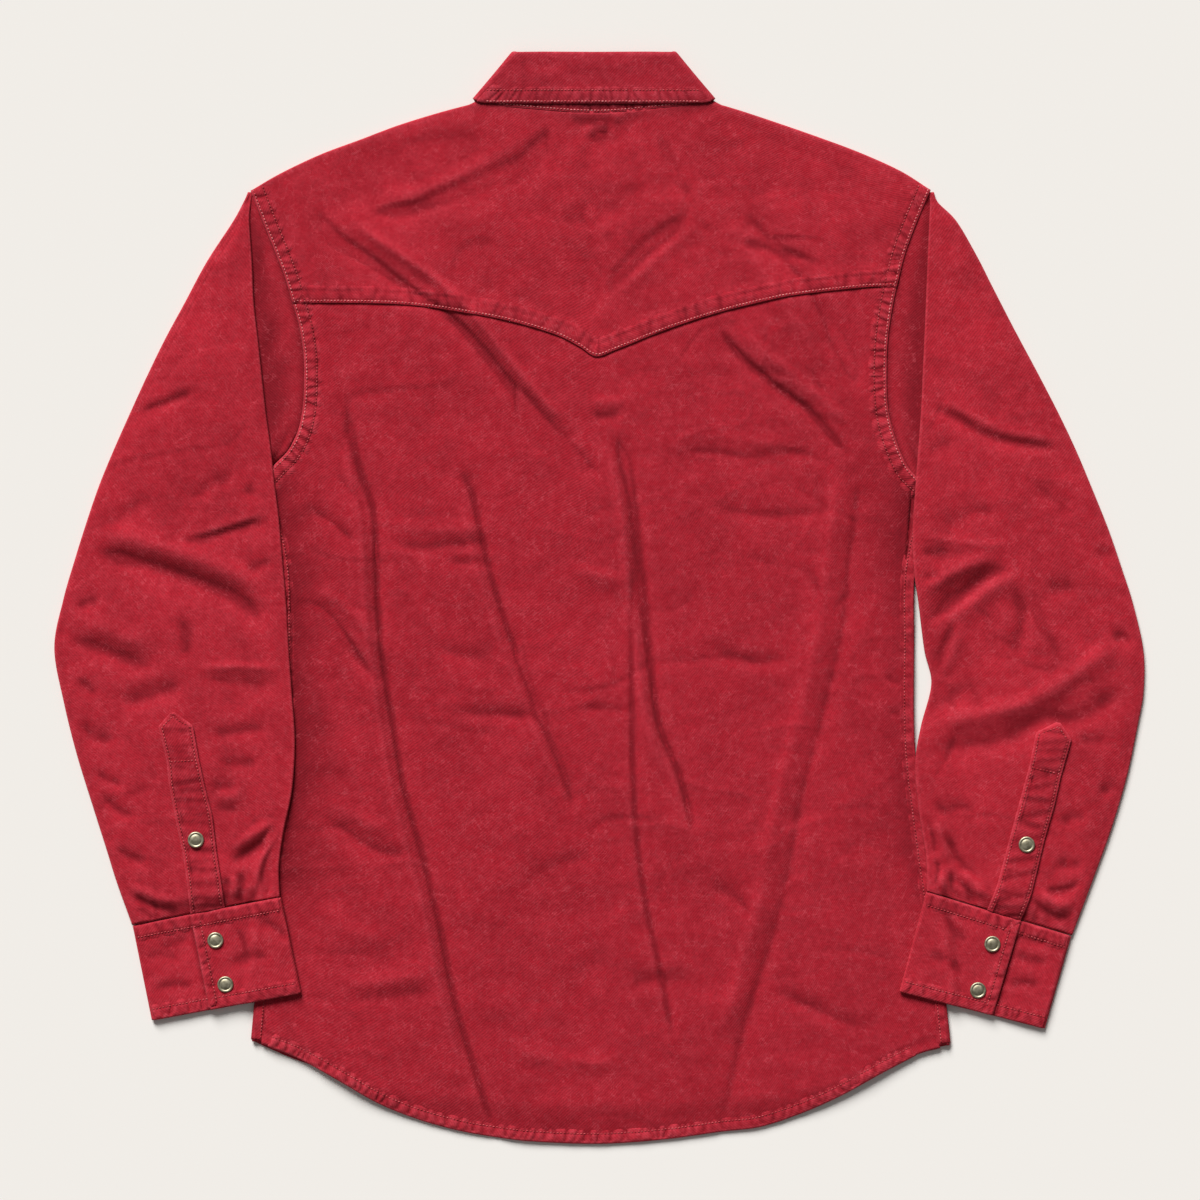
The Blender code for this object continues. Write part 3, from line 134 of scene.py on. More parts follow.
# outer x, y, inner x, y, height of the inner edge (0 where OVER_RISE sets it)
SLEEVE_LEFT = [
    (-259.6, 299.4, -255.8, 299.4, 0.6),
    (-263.2, 291.5, -257.4, 291.5, 1.1),
    (-270.8, 277.5, -258.3, 277.5, 2.4),
    (-290.1, 247.9, -256.4, 247.9, 3.1),
    (-306.4, 217.6, -255.1, 217.6, 3.1),
    (-321.2, 190.2, -252.0, 190.2, 3.1),
    (-334.9, 162.1, -249.0, 162.1, 3.1),
    (-347.4, 134.7, -246.0, 134.7, 3.1),
    (-358.9, 108.8, -242.3, 108.8, 4.2),
    (-369.3, 83.6, -239.4, 81.5, 0.0),
    (-378.5, 57.0, -236.3, 57.0, 0.0),
    (-387.8, 27.4, -233.8, 27.4, 0.0),
    (-396.3, -2.2, -231.2, -2.2, 0.0),
    (-402.9, -37.7, -229.0, -40.7, 0.0),
    (-395.9, -77.7, -226.8, -71.8, 0.0),
    (-386.3, -116.2, -224.6, -107.3, 0.0),
    (-374.4, -154.7, -226.8, -142.8, 0.0),
    (-364.1, -187.2, -233.1, -173.9, 0.0),
    (-356.7, -210.9, -236.4, -199.1, 0.0),
    (-345.3, -242.6, -235.8, -221.3, 0.0),
]
SLEEVE_RIGHT = [
    (247.6, 299.4, 243.6, 299.4, 0.6),
    (250.9, 291.5, 244.7, 291.5, 1.1),
    (264.6, 277.5, 244.0, 277.5, 2.4),
    (279.5, 252.0, 242.9, 252.0, 3.1),
    (290.8, 229.7, 242.0, 229.7, 3.1),
    (307.1, 198.0, 240.7, 198.0, 3.1),
    (324.2, 166.0, 239.2, 166.0, 3.1),
    (339.2, 137.0, 237.9, 137.0, 3.1),
    (352.6, 108.8, 235.7, 108.8, 4.2),
    (364.4, 80.7, 233.5, 78.6, 0.0),
    (376.7, 50.0, 231.6, 50.0, 0.0),
    (387.0, 20.0, 232.6, 20.0, 0.0),
    (395.2, -5.9, 236.1, -5.9, 0.0),
    (402.6, -39.2, 240.5, -39.2, 0.0),
    (402.9, -68.8, 245.7, -64.4, 0.0),
    (398.9, -92.5, 237.5, -97.0, 0.0),
    (390.7, -131.7, 233.5, -124.3, 0.0),
    (379.6, -169.5, 236.8, -161.3, 0.0),
    (368.5, -200.5, 241.5, -191.0, 0.0),
    (349.9, -250.2, 242.2, -217.3, 0.0),
]
PLACKET_LEFT = [  # left x, y, right x, y
    (-316.6, -85.6, -313.4, -85.2),
    (-325.0, -95.5, -299.8, -94.7),
    (-318.9, -121.8, -295.6, -118.4),
    (-317.3, -139.0, -291.0, -140.2),
    (-312.9, -162.1, -285.6, -160.9),
    (-307.2, -190.0, -282.5, -187.7),
    (-303.6, -214.0, -279.0, -210.0),
    (-301.8, -234.6, -276.4, -229.6),
]
PLACKET_RIGHT = [
    (337.4, -92.6, 341.0, -93.5),
    (322.7, -100.1, 348.7, -105.3),
    (317.5, -125.1, 340.9, -132.7),
    (311.5, -146.7, 336.6, -152.2),
    (305.6, -168.5, 329.0, -178.6),
    (299.0, -193.4, 324.5, -197.4),
    (293.7, -213.0, 319.3, -218.9),
    (286.6, -231.6, 311.6, -239.2),
]
# outer top and bottom corner, inner top and bottom one, ends of the flap's edge
CUFF_LEFT = [(-344.9, -243.2), (-330.8, -312.8), (-235.0, -222.0), (-219.9, -292.3), (-301.6, -235.6),
    (-287.6, -304.6)]
CUFF_RIGHT = [(349.2, -251.0), (329.7, -318.9), (241.6, -218.0), (221.9, -291.2), (311.2, -240.0),
    (290.6, -309.6)]
SNAPS = [
    ("snap_placket_left", -297.5, -179.1),
    ("snap_cuff_left_upper", -283.4, -253.5),
    ("snap_cuff_left_lower", -276.0, -286.1),
    ("snap_placket_right", 315.4, -182.6),
    ("snap_cuff_right_upper", 290.5, -256.3),
    ("snap_cuff_right_lower", 280.0, -290.5),
]
COLLAR = [  # neck x, y, fold x, y, outer x, y, turn in degrees
    (0.0, 359.7, 0.0, 402.2, 0.0, 365.2, 90),
    (20.0, 360.6, 18.0, 402.3, 21.0, 365.2, 90),
    (44.0, 362.4, 38.0, 402.4, 46.0, 365.3, 90),
    (68.0, 364.6, 53.0, 402.2, 70.0, 365.5, 90),
    (83.6, 366.9, 57.0, 402.2, 84.1, 366.5, 90),
    (83.6, 366.9, 57.6, 401.6, 84.1, 366.5, 45),
    (83.6, 366.9, 58.1, 401.1, 84.1, 366.5, 0),
    (83.6, 366.9, 58.1, 401.1, 84.1, 366.3, -45),
    (83.8, 366.2, 58.0, 400.6, 84.6, 365.2, -90),
    (82.4, 345.0, 48.0, 374.0, 82.0, 334.0, -90),
    (76.0, 326.0, 37.0, 354.0, 74.0, 304.0, -90),
    (58.0, 309.5, 28.0, 342.0, 66.0, 282.0, -90),
    (34.0, 300.3, 16.0, 333.0, 57.0, 269.0, -90),
    (4.0, 296.6, 4.0, 328.0, 50.0, 262.0, -90),
]

# ---- folds: height, width on the left and right side, sharpness, then the path's x, y
BACK_CREASES = [
    (-2.1, 4.6, 12, 1.3, -210, 290, -195, 268, -166, 248, -129, 220, -114, 211, -92, 190, -58, 149, -29,
     116, -10, 98, 4, 92),
    (1.4, 9, 7, 1.5, -188, 283, -158, 260, -121, 235, -95, 211, -66, 175, -40, 144, -18, 121),
    (-2.3, 3.8, 9, 1.3, -173, 284, -140, 288, -110, 300, -81, 312, -52, 325, -43, 338, -33, 350),
    (0.4, 8, 9, 1.8, -168, 297, -132, 301, -95, 317, -66, 332, -47, 347),
    (-2.0, 4.2, 9, 1.3, 3, 221, 17, 242, 39, 264, 69, 286),
    (0.7, 6, 8, 1.6, 10, 220, 30, 240, 54, 260, 79, 278),
    (-1.2, 14, 9, 1.6, 104, 289, 123, 268, 141, 246, 156, 227, 171, 198, 186, 168, 193, 146),
    (1.0, 10, 14, 1.8, 91, 283, 110, 255, 131, 226, 149, 198, 165, 166),
    (-0.8, 3.8, 7, 1.4, 93, 262, 127, 258, 149, 252, 171, 242),
    (-3.6, 4.2, 5.4, 1.4, -20, 350, -15, 354, -9, 353, -3, 349, 3, 345),
    (-4.0, 5.0, 5.4, 1.4, -8, 340, 0, 341, 9, 344, 19, 350, 27, 352),
    (-3.2, 4.0, 4.6, 1.4, -1, 357, 5, 353, 11, 349),
    (-1.3, 3.6, 8, 1.3, -75, 300, -60, 318, -46, 334, -36, 347),
    (-1.0, 3.6, 7, 1.4, 42, 345, 50, 330, 58, 312, 70, 296),
    (2.2, 4, 4, 1.5, -14, 346, -6, 346, 3, 348, 12, 351),
    (1.5, 4, 4, 1.5, 8, 355, 15, 353, 21, 354),
    (-0.6, 12, 12, 2.0, -7, 347, -10, 316, -5, 264, -7, 198),
    (-0.9, 18, 16, 2.0, 75, 320, 119, 319, 164, 312, 208, 297),
    (-0.8, 16, 18, 2.0, -162, 323, -125, 332, -73, 338),
    (-0.7, 16, 16, 2.0, -58, 294, -29, 283, 1, 285, 38, 301),
    (-1.55, 11, 4.0, 1.35, -188, 146, -183, 116, -175, 87, -166, 57, -164, -2, -160, -47, -153, -91, -144,
     -143, -132, -187, -119, -239, -107, -298, -92, -350, -81, -385, -73, -412),
    (0.9, 5, 12, 1.6, -192, 116, -177, 57, -173, -2, -169, -47, -153, -143, -128, -239, -116, -298, -99,
     -360),
    (-1.15, 9, 4.2, 1.5, -107, 98, -95, 79, -88, 50, -81, 20, -70, -17, -58, -50, -51, -69, -40, -98, -25,
     -135, -18, -165),
    (0.7, 5, 9, 1.6, -104, 79, -97, 50, -90, 20, -79, -17, -67, -50, -48, -98, -31, -140),
    (-1.8, 9, 4.0, 1.35, 12, 124, 19, 94, 24, 72, 29, 27, 34, -17, 39, -61, 45, -98, 60, -135, 71, -180),
    (1.0, 5, 9, 1.6, 3, 122, 15, 72, 20, 27, 25, -17, 30, -61, 37, -98, 50, -138),
    (-0.8, 8, 3.4, 1.4, 24, 27, 24, -76, 27, -165, 34, -224, 45, -276, 56, -335),
    (-0.65, 13, 6, 1.6, 193, 94, 186, 27, 178, -32, 164, -91, 149, -150, 141, -195, 127, -254, 108, -313,
     96, -366, 86, -410),
    (0.9, 14, 10, 1.8, 177, 94, 169, 27, 161, -32, 147, -91, 132, -150, 121, -209, 106, -269, 91, -328),
    (-1.7, 4.2, 10, 1.3, 86, 205, 101, 183, 130, 157, 156, 138, 175, 116, 188, 100),
    (0.9, 8, 10, 1.7, 101, 206, 125, 178, 153, 156, 177, 135, 195, 116),
    (-0.4, 5, 8, 1.6, 48, 103, 76, 108, 112, 104, 150, 107, 168, 102),
    (0.3, 8, 8, 1.7, 50, 115, 80, 119, 122, 114, 158, 116),
    (-0.38, 5, 9, 1.6, 75, 72, 100, 64, 130, 61, 180, 65),
    (-0.42, 5, 9, 1.6, -160, 44, -130, 37, -100, 40, -66, 36),
    (-0.5, 5, 8, 1.5, -118, 27, -73, 26),
    (0.6, 8, 8, 1.7, -162, 53, -118, 50, -70, 51),
    (-0.5, 5, 8, 1.5, -9, 137, 2, 134, 20, 137),
    (0.5, 6, 7, 1.6, -10, 144, 24, 145),
    (-1.6, 5, 11, 1.4, -225, -2, -203, -13, -181, -39, -160, -69),
    (0.8, 9, 9, 1.8, -221, 9, -195, -2, -168, -27, -150, -53),
    (-0.8, 8, 12, 1.6, -214, -158, -188, -172, -162, -187, -132, -189),
    (0.6, 9, 9, 1.8, -208, -147, -180, -162, -150, -175),
    (-0.55, 10, 14, 1.7, -199, -301, -160, -295, -110, -290),
    (0.6, 10, 10, 1.8, -199, -286, -155, -283, -113, -275),
    (-0.9, 10, 12, 1.7, 119, -287, 149, -298, 178, -312, 208, -320),
    (-0.7, 9, 12, 1.7, -58, -217, -29, -198, 1, -187),
    (-2.0, 9, 7, 1.4, 204, 146, 215, 109, 226, 72, 232, 42),
    (-0.7, 8, 12, 1.7, -118, -84, -58, -87, -29, -91),
    (-0.5, 6, 9, 1.6, -21, -80, 30, -84),
    (-0.6, 5, 6, 1.4, 211, -32, 234, -48),
    (-0.6, 5, 6, 1.4, 208, -56, 233, -69),
    (-0.5, 5, 6, 1.4, 211, -82, 233, -92),
    (-0.6, 5, 6, 1.4, 206, -2, 230, -20),
    (-0.8, 7, 9, 1.5, -221, 68, -199, 57, -175, 36),
    (0.7, 8, 8, 1.7, -227, -32, -212, -69, -205, -106),
    (-0.7, 9, 12, 1.8, 75, -32, 112, -47, 149, -43),
    (0.6, 10, 10, 1.8, -29, 27, 1, 16, 30, 13),
    (-0.7, 10, 14, 1.8, -29, -269, 16, -283, 75, -280),
    (0.6, 10, 12, 1.8, -73, -328, -29, -343, 30, -344),
    (-0.6, 8, 12, 1.7, 75, -209, 104, -224, 119, -246),
    (-0.6, 10, 12, 1.8, -132, -32, -95, -43, -66, -39),
    (0.6, 12, 12, 1.8, -206, -224, -184, -246, -147, -254),
    (-0.7, 10, 12, 1.7, 141, 27, 164, 5, 168, -32),
]
CUFF_CREASES = [
    (-0.9, 7, 10, 1.6, -256, -234, -240, -243, -226, -256),
    (-0.7, 6, 8, 1.6, -278, -273, -258, -266, -238, -265),
    (-0.6, 8, 8, 1.7, -341, -268, -322, -264, -303, -271),
    (-0.7, 6, 8, 1.6, -333, -290, -311, -286, -294, -289),
    (-0.8, 5, 7, 1.5, -270, -240, -262, -256, -258, -276),
    (-0.6, 6, 7, 1.6, -300, -246, -312, -256, -330, -259),
    (-0.9, 7, 9, 1.6, 252, -229, 262, -246, 276, -256),
    (-0.7, 6, 8, 1.6, 238, -262, 256, -268, 272, -280),
    (-0.8, 6, 8, 1.6, 304, -262, 318, -268, 336, -271),
    (-0.6, 6, 7, 1.6, 300, -290, 314, -285, 330, -290),
    (-0.7, 5, 7, 1.5, 306, -248, 318, -254, 338, -256),
]
LEFT_CREASES = [
    (-1.2, 5, 9, 1.4, -348, 133, -335, 139, -322, 143, -308, 149, -292, 155),
    (-2.6, 11, 20, 1.6, -379, 36, -352, 29, -322, 21, -292, 11, -266, -1, -253, -13, -244, -27),
    (1.3, 14, 12, 1.8, -375, 48, -347, 43, -317, 35, -287, 25, -262, 13, -246, -1),
    (-1.3, 4, 8, 1.3, -312, 41, -296, 43, -276, 49, -253, 56, -238, 60),
    (0.7, 6, 4, 1.4, -310, 44, -296, 46, -276, 52, -253, 59, -238, 63),
    (-1.9, 12, 16, 1.7, -398, -28, -379, -34, -358, -42, -335, -50, -322, -56),
    (1.0, 14, 12, 1.9, -388, -17, -370, -21, -347, -30, -324, -40),
    (-1.6, 13, 14, 1.8, -361, -78, -338, -74, -317, -67, -299, -65),
    (0.9, 5, 7, 1.4, -301, -54, -285, -52, -264, -51, -243, -54, -230, -59),
    (-0.6, 8, 14, 1.6, -299, -60, -276, -62, -253, -64, -232, -67),
    (-1.9, 7, 9, 1.4, -276, -200, -266, -193, -253, -184, -241, -174, -233, -167),
    (1.4, 9, 8, 1.6, -276, -189, -262, -180, -248, -171, -236, -162),
    (-1.7, 4, 6, 1.3, -246, -228, -247, -212, -244, -196, -238, -185, -231, -173, -228, -159, -227, -143),
    (1.3, 5, 4, 1.4, -253, -226, -253, -208, -249, -194, -242, -182, -235, -171, -232, -159),
    (-1.5, 4, 6, 1.3, -264, -227, -264, -212, -266, -201),
    (1.2, 4, 5, 1.5, -269, -226, -269, -215, -270, -203),
    (-1.2, 4, 6, 1.4, -274, -228, -275, -217, -276, -205),
    (-1.0, 6, 5, 1.4, -262, -231, -255, -228, -249, -231),
    (-1.7, 4, 8, 1.3, -353, -219, -340, -223, -324, -230, -312, -232, -305, -231),
    (1.2, 6, 6, 1.6, -352, -212, -338, -217, -322, -223, -309, -224),
    (-1.1, 4, 5, 1.3, -347, -236, -340, -233, -333, -232),
    (-1.2, 6, 9, 1.5, -362, -185, -352, -189, -338, -194, -331, -193),
    (-1.0, 7, 9, 1.6, -376, -143, -364, -150, -352, -159, -338, -162),
    (-0.9, 6, 8, 1.5, -375, -127, -363, -135, -347, -139),
    (-0.7, 8, 10, 1.6, -286, -136, -278, -140, -266, -139),
    (-0.6, 8, 9, 1.6, -285, -153, -276, -156, -264, -154),
    (0.8, 8, 8, 1.7, -285, -144, -273, -147, -262, -144),
    (-0.9, 8, 10, 1.6, -389, -11, -379, -4, -366, -1),
    (-0.8, 10, 14, 1.7, -375, 48, -358, 57, -345, 65, -328, 75),
    (-0.8, 10, 12, 1.7, -310, 66, -296, 77, -280, 87, -264, 93),
    (-0.7, 8, 12, 1.6, -266, 75, -255, 80, -243, 81),
    (-0.8, 9, 9, 1.6, -262, 18, -248, 25, -238, 28),
    (-0.8, 6, 9, 1.5, -308, -10, -305, -24, -304, -37, -307, -48),
    (-1.0, 9, 10, 1.6, -386, -90, -377, -100, -365, -104, -356, -100),
    (-0.9, 6, 8, 1.5, -386, -60, -377, -66, -370, -74),
    (-1.3, 4, 5, 1.3, -244, -210, -240, -214, -235, -213),
    (-0.9, 8, 10, 1.7, -294, -97, -276, -100, -257, -97, -239, -98),
    (-0.7, 8, 10, 1.7, -285, -118, -266, -123, -248, -119),
]
RIGHT_CREASES = [
    (-1.3, 7, 10, 1.5, 240, 142, 254, 138, 268, 131, 284, 121, 300, 116, 323, 112, 348, 109),
    (0.8, 8, 6, 1.5, 245, 146, 261, 141, 275, 133, 291, 125, 307, 120, 328, 117, 348, 113),
    (-0.7, 8, 12, 1.6, 238, 105, 252, 112, 265, 116),
    (0.8, 6, 7, 1.5, 232, 44, 245, 44, 263, 41, 284, 39, 309, 40),
    (-0.7, 6, 9, 1.5, 234, 35, 247, 32, 261, 35),
    (-0.7, 7, 8, 1.5, 236, 13, 245, 16, 255, 18),
    (-2.7, 15, 5, 1.6, 237, -19, 252, -12, 265, -2, 279, 9, 293, 18, 307, 22),
    (1.8, 14, 9, 1.7, 234, 2, 249, 11, 265, 20, 284, 27, 300, 29),
    (1.3, 8, 10, 1.6, 254, -18, 270, -9, 286, 4, 302, 13, 313, 17),
    (-1.3, 7, 4, 1.4, 245, -66, 249, -51, 255, -37, 261, -21, 263, -16),
    (1.0, 4, 9, 1.6, 253, -60, 259, -44, 264, -28, 268, -18),
    (1.6, 12, 13, 1.8, 242, -94, 277, -87, 312, -78, 337, -66, 355, -54, 371, -43, 390, -35),
    (-1.6, 12, 16, 1.8, 242, -118, 265, -111, 289, -108, 309, -101, 328, -89, 355, -89, 378, -74, 392,
     -60),
    (0.5, 3, 4, 1.4, 295, -83, 307, -81, 321, -77),
    (-1.1, 12, 12, 1.8, 305, 13, 312, -10, 307, -35, 300, -51),
    (-1.0, 10, 12, 1.7, 328, 11, 341, 7, 355, 10),
    (-1.0, 9, 12, 1.7, 369, 41, 378, 32, 388, 22),
    (-1.2, 9, 10, 1.6, 376, -32, 388, -29, 399, -35),
    (-0.8, 10, 14, 1.8, 249, 52, 268, 59, 284, 64, 305, 62),
    (-0.8, 10, 12, 1.8, 318, 85, 337, 71, 351, 57),
    (-1.9, 7, 4, 1.3, 245, -194, 249, -199, 245, -208, 243, -215, 247, -218),
    (-1.6, 4, 7, 1.3, 237, -157, 242, -169, 246, -182, 247, -194),
    (1.3, 5, 5, 1.5, 248, -162, 253, -176, 257, -189, 259, -199),
    (-1.9, 4, 6, 1.3, 260, -200, 261, -210, 262, -222, 263, -231),
    (1.4, 5, 5, 1.5, 253, -202, 254, -212, 255, -224),
    (-1.4, 5, 5, 1.4, 263, -205, 272, -217, 280, -228, 285, -235),
    (1.0, 6, 6, 1.6, 268, -201, 277, -212, 285, -224),
    (-1.1, 5, 6, 1.5, 263, -217, 268, -228, 272, -235),
    (-1.2, 7, 9, 1.5, 252, -171, 261, -185, 270, -199, 284, -208),
    (-1.8, 5, 8, 1.4, 318, -219, 328, -231, 339, -237, 351, -235, 359, -228),
    (1.3, 7, 7, 1.6, 323, -212, 332, -223, 344, -228, 355, -224),
    (-1.3, 4, 6, 1.4, 323, -241, 337, -242, 348, -240),
    (-1.2, 5, 7, 1.5, 323, -214, 335, -217, 348, -215, 362, -208),
    (-0.9, 8, 9, 1.6, 367, -141, 376, -143, 386, -136),
    (-0.8, 8, 10, 1.7, 242, -150, 254, -157, 268, -155, 282, -162),
    (-0.8, 8, 10, 1.7, 337, -169, 351, -162, 364, -164),
    (-0.8, 7, 9, 1.6, 337, -192, 346, -199, 360, -195),
    (-0.7, 8, 10, 1.7, 351, -102, 364, -106, 378, -104),
    (-0.7, 8, 12, 1.7, 249, -74, 263, -70, 282, -60),
]
# radius and height: underside, rolled rim, the groove inside it and a domed middle
SNAP_PROFILE = [(4.2, 0.0), (5.2, 0.05), (5.75, 0.25), (6.0, 0.6), (6.0, 0.95), (5.8, 1.3), (5.45, 1.52),
    (5.05, 1.58), (4.7, 1.48), (4.45, 1.28), (4.25, 1.1), (4.05, 1.08), (3.8, 1.2), (3.4, 1.4),
    (2.8, 1.6), (2.1, 1.74), (1.4, 1.82), (0.7, 1.86), (0.15, 1.87)]
# the closed face of the front snaps, which lie under the shirt
FLAT_SNAP_PROFILE = [(4.6, 0.0), (5.4, 0.03), (5.8, 0.15), (5.8, 0.4), (5.3, 0.52), (4.6, 0.5),
    (4.2, 0.42), (3.0, 0.44), (0.2, 0.45)]

SHOULDER = {-1: SHOULDER_LEFT, 1: SHOULDER_RIGHT}
ARMHOLE = {-1: ARMHOLE_LEFT, 1: ARMHOLE_RIGHT}
FLANK = {-1: SIDE_LEFT, 1: SIDE_RIGHT}
NECK_FRONT = {-1: NECK_FRONT_LEFT, 1: NECK_FRONT_RIGHT}
LEFT_EDGE = np.array(SHOULDER_LEFT[::-1] + ARMHOLE_LEFT[1:] + SIDE_LEFT[1:])
RIGHT_EDGE = np.array(SHOULDER_RIGHT + ARMHOLE_RIGHT[1:] + SIDE_RIGHT[1:])


# ---- small geometry helpers, on numpy arrays
def unit(t):
    """Values held between 0 and 1."""
    return np.clip(t, 0.0, 1.0)


def smooth(t):
    """Eased step that goes from 0 to 1 as t does."""
    t = unit(t)
    return t * t * (3.0 - 2.0 * t)


def arch(share):
    """0 at shares 0 and 1, and 1 halfway."""
    return math.sin(math.pi * share)


def bump(d, width, power=2.0):
    """1 at distance 0, falling off over a width; a high power has steeper sides."""
    return np.exp(-np.abs(d / width) ** power)


def lerp(p, q, t):
    """Point at a share of the way from p to q."""
    return np.asarray(p, float) * (1.0 - t) + np.asarray(q, float) * t


def span(count):
    return np.linspace(0.0, 1.0, count)


def xyz(x, y, z):
    return np.stack([x, y, z], axis=-1)


def plan_of(grid):
    """x and y of a grid of points."""
    return grid[..., 0], grid[..., 1]


def at_x(path, x):
    """y of a path that runs across, at an x."""
    line = np.array(sorted(path))
    return np.interp(x, line[:, 0], line[:, 1])


def at_y(path, y):
    """x of a path that runs up or down, at a y."""
    line = np.array(sorted((q, p) for p, q in path))
    return np.interp(y, line[:, 0], line[:, 1])


def curve_at(a, b, c, d, t):
    """Point between b and c of a smooth curve through four points."""
    return 0.5 * (2 * b + (c - a) * t + (2 * a - 5 * b + 4 * c - d) * t * t
                  + (3 * b - a - 3 * c + d) * t ** 3)


def spline(path, step=4.0):
    """Smooth curve through the points of a path, as close points."""
    p = np.array(path, float)
    if len(p) < 3:
        count = max(2, int(np.linalg.norm(p[1] - p[0]) / step))
        return np.array([lerp(p[0], p[1], k / count) for k in range(count + 1)])
    p = np.vstack([2 * p[0] - p[1], p, 2 * p[-1] - p[-2]])
    points = []
    for a, b, c, d in zip(p, p[1:], p[2:], p[3:]):
        count = max(1, int(np.linalg.norm(c - b) / step))
        points += [curve_at(a, b, c, d, k / count) for k in range(count)]
    points.append(p[-2])
    return np.array(points)


def lengths_of(line):
    """Length run at each point of a line."""
    steps = np.linalg.norm(np.diff(line, axis=0), axis=1)
    return np.concatenate([[0.0], np.cumsum(steps)])


def resample(path, shares):
    """Points of a path at shares of its length."""
    line = np.array(path, float)
    run = lengths_of(line)
    at = np.asarray(shares) * run[-1]
    return np.stack([np.interp(at, run, line[:, k]) for k in range(line.shape[1])], axis=1)


def graded(length, start_fine, end_fine, mid_step, fine_step):
    """Shares from 0 to 1 with fine steps over the first and last stretch."""
    marks = list(np.arange(0.0, start_fine, fine_step))
    middle = length - start_fine - end_fine
    count = max(1, round(middle / mid_step))
    marks += [start_fine + middle * k / count for k in range(count + 1)]
    count = max(1, round(end_fine / fine_step))
    marks += [length - end_fine * (1 - (k + 1) / count) for k in range(count)]
    return np.array(marks) / length


def nearest(x, y, line):
    """Signed distance to a line (left side positive), and the length run."""
    best = np.full(x.shape, 1.0e9)
    sign = np.zeros(x.shape)
    run = np.zeros(x.shape)
    lengths = lengths_of(line)
    for k in range(len(line) - 1):
        (ax, ay), (bx, by) = line[k], line[k + 1]
        dx, dy = bx - ax, by - ay
        size = dx * dx + dy * dy
        t = unit(((x - ax) * dx + (y - ay) * dy) / size)
        d = np.hypot(x - ax - dx * t, y - ay - dy * t)
        closer = d < best
        best = np.where(closer, d, best)
        side = np.where(dx * (y - ay) - dy * (x - ax) >= 0.0, 1.0, -1.0)
        sign = np.where(closer, side, sign)
        run = np.where(closer, lengths[k] + t * math.sqrt(size), run)
    return best * sign, run


def beside(x, y, line):
    """Distance to a line on either side, and the length run."""
    d, run = nearest(x, y, line)
    return np.abs(d), run


def close_to(x, y, line, reach):
    """Where points lie in the box round a line, widened by a reach."""
    low = line.min(axis=0) - reach
    high = line.max(axis=0) + reach
    return (x > low[0]) & (x < high[0]) & (y > low[1]) & (y < high[1])


def noise(x, y, size, seed):
    """Smooth noise between -1 and 1 with features of the given size."""
    lattice = 64
    grid = np.random.default_rng(seed).uniform(-1.0, 1.0, (lattice, lattice))
    u = np.asarray(x, float) / size + 17.3 * seed
    v = np.asarray(y, float) / size + 9.1 * seed
    i = np.floor(u).astype(int)
    j = np.floor(v).astype(int)
    s = smooth(u - i)
    t = smooth(v - j)
    i0, i1 = i % lattice, (i + 1) % lattice
    j0, j1 = j % lattice, (j + 1) % lattice
    low = grid[i0, j0] * (1 - s) + grid[i1, j0] * s
    high = grid[i0, j1] * (1 - s) + grid[i1, j1] * s
    return low * (1 - t) + high * t


def creases(x, y, table, strength=1.0):
    """Heights of listed folds; each has its own width on either side."""
    gain = 2.1
    z = np.zeros(x.shape)
    for height, left, right, power, *path in table:
        line = spline(np.reshape(path, (-1, 2)), 6.0)
        near = close_to(x, y, line, 3.2 * max(left, right))
        if not near.any():
            continue
        d, run = nearest(x[near], y[near], line)
        total = lengths_of(line)[-1]
        taper = min(30.0, total * 0.35)
        ends = smooth(run / taper) * smooth((total - run) / taper)
        width = np.where(d > 0, left, right)
        z[near] += strength * gain * height * bump(d, 0.64 * width, power) * ends
    return z


def crumple(x, y, seed, strength=1.0, flatten=0.6):
    """Irregular softness of worn cotton: broad waves and fine crossing creases,
    which lie more across the cloth than along it."""
    bend = 12.0 * noise(x, y, 48.0, seed + 9)
    z = 0.50 * noise(x, y, 75.0, seed)
    z = z + 0.34 * noise(x * flatten + bend, y, 36.0, seed + 1)
    z = z + 0.20 * noise(x * flatten, y + bend, 17.0, seed + 2)
    z = z + 0.07 * noise(x * flatten, y, 8.0, seed + 3)
    for size, deep, shift in ((52.0, 0.55, 4), (33.0, 0.38, 14), (20.0, 0.24, 24)):
        web = np.abs(noise(x * flatten + bend, y - bend, size, seed + shift))
        amount = unit(0.3 + 1.1 * noise(x, y, 62.0, seed + shift + 1))
        z = z - 0.6 * deep * bump(web, 3.2 / size, 1.4) * amount
    web = np.abs(noise(x * flatten - bend, y + bend, 27.0, seed + 6))
    amount = unit(0.3 + 1.1 * noise(x, y, 55.0, seed + 7))
    return strength * (z + 0.30 * bump(web, 0.10, 1.2) * amount)


def ripple(run, d, pitch, seed):
    """Puckers along a seam, between 0 and 1, leaning a little."""
    s = run + 0.35 * d + 1.6 * noise(run, d, 30.0, seed + 2)
    wave = noise(s, np.zeros_like(s), pitch, seed)
    wave = wave + 0.5 * noise(s, np.zeros_like(s), pitch * 0.55, seed + 1)
    return unit(0.5 + 0.62 * wave)


def ticks(run, d, pitch, seed):
    """Depth from 0 to 1 of the narrow puckers across a seam."""
    rng = np.random.default_rng(seed)
    count = int(run.max() / pitch * 1.5) + 6
    centres = np.cumsum(pitch * rng.uniform(0.45, 1.55, count)) - 2.0 * pitch
    depths = rng.uniform(0.3, 1.0, count)
    leans = rng.uniform(-0.45, 0.45, count)
    widths = rng.uniform(1.2, 2.4, count)
    low = np.clip(np.searchsorted(centres, run) - 1, 1, count - 3)
    cut = np.zeros(run.shape)
    for n in (low - 1, low, low + 1, low + 2):
        away = run + leans[n] * (d - 4.0) - centres[n]
        cut = np.maximum(cut, depths[n] * bump(away, widths[n], 1.35))
    return cut


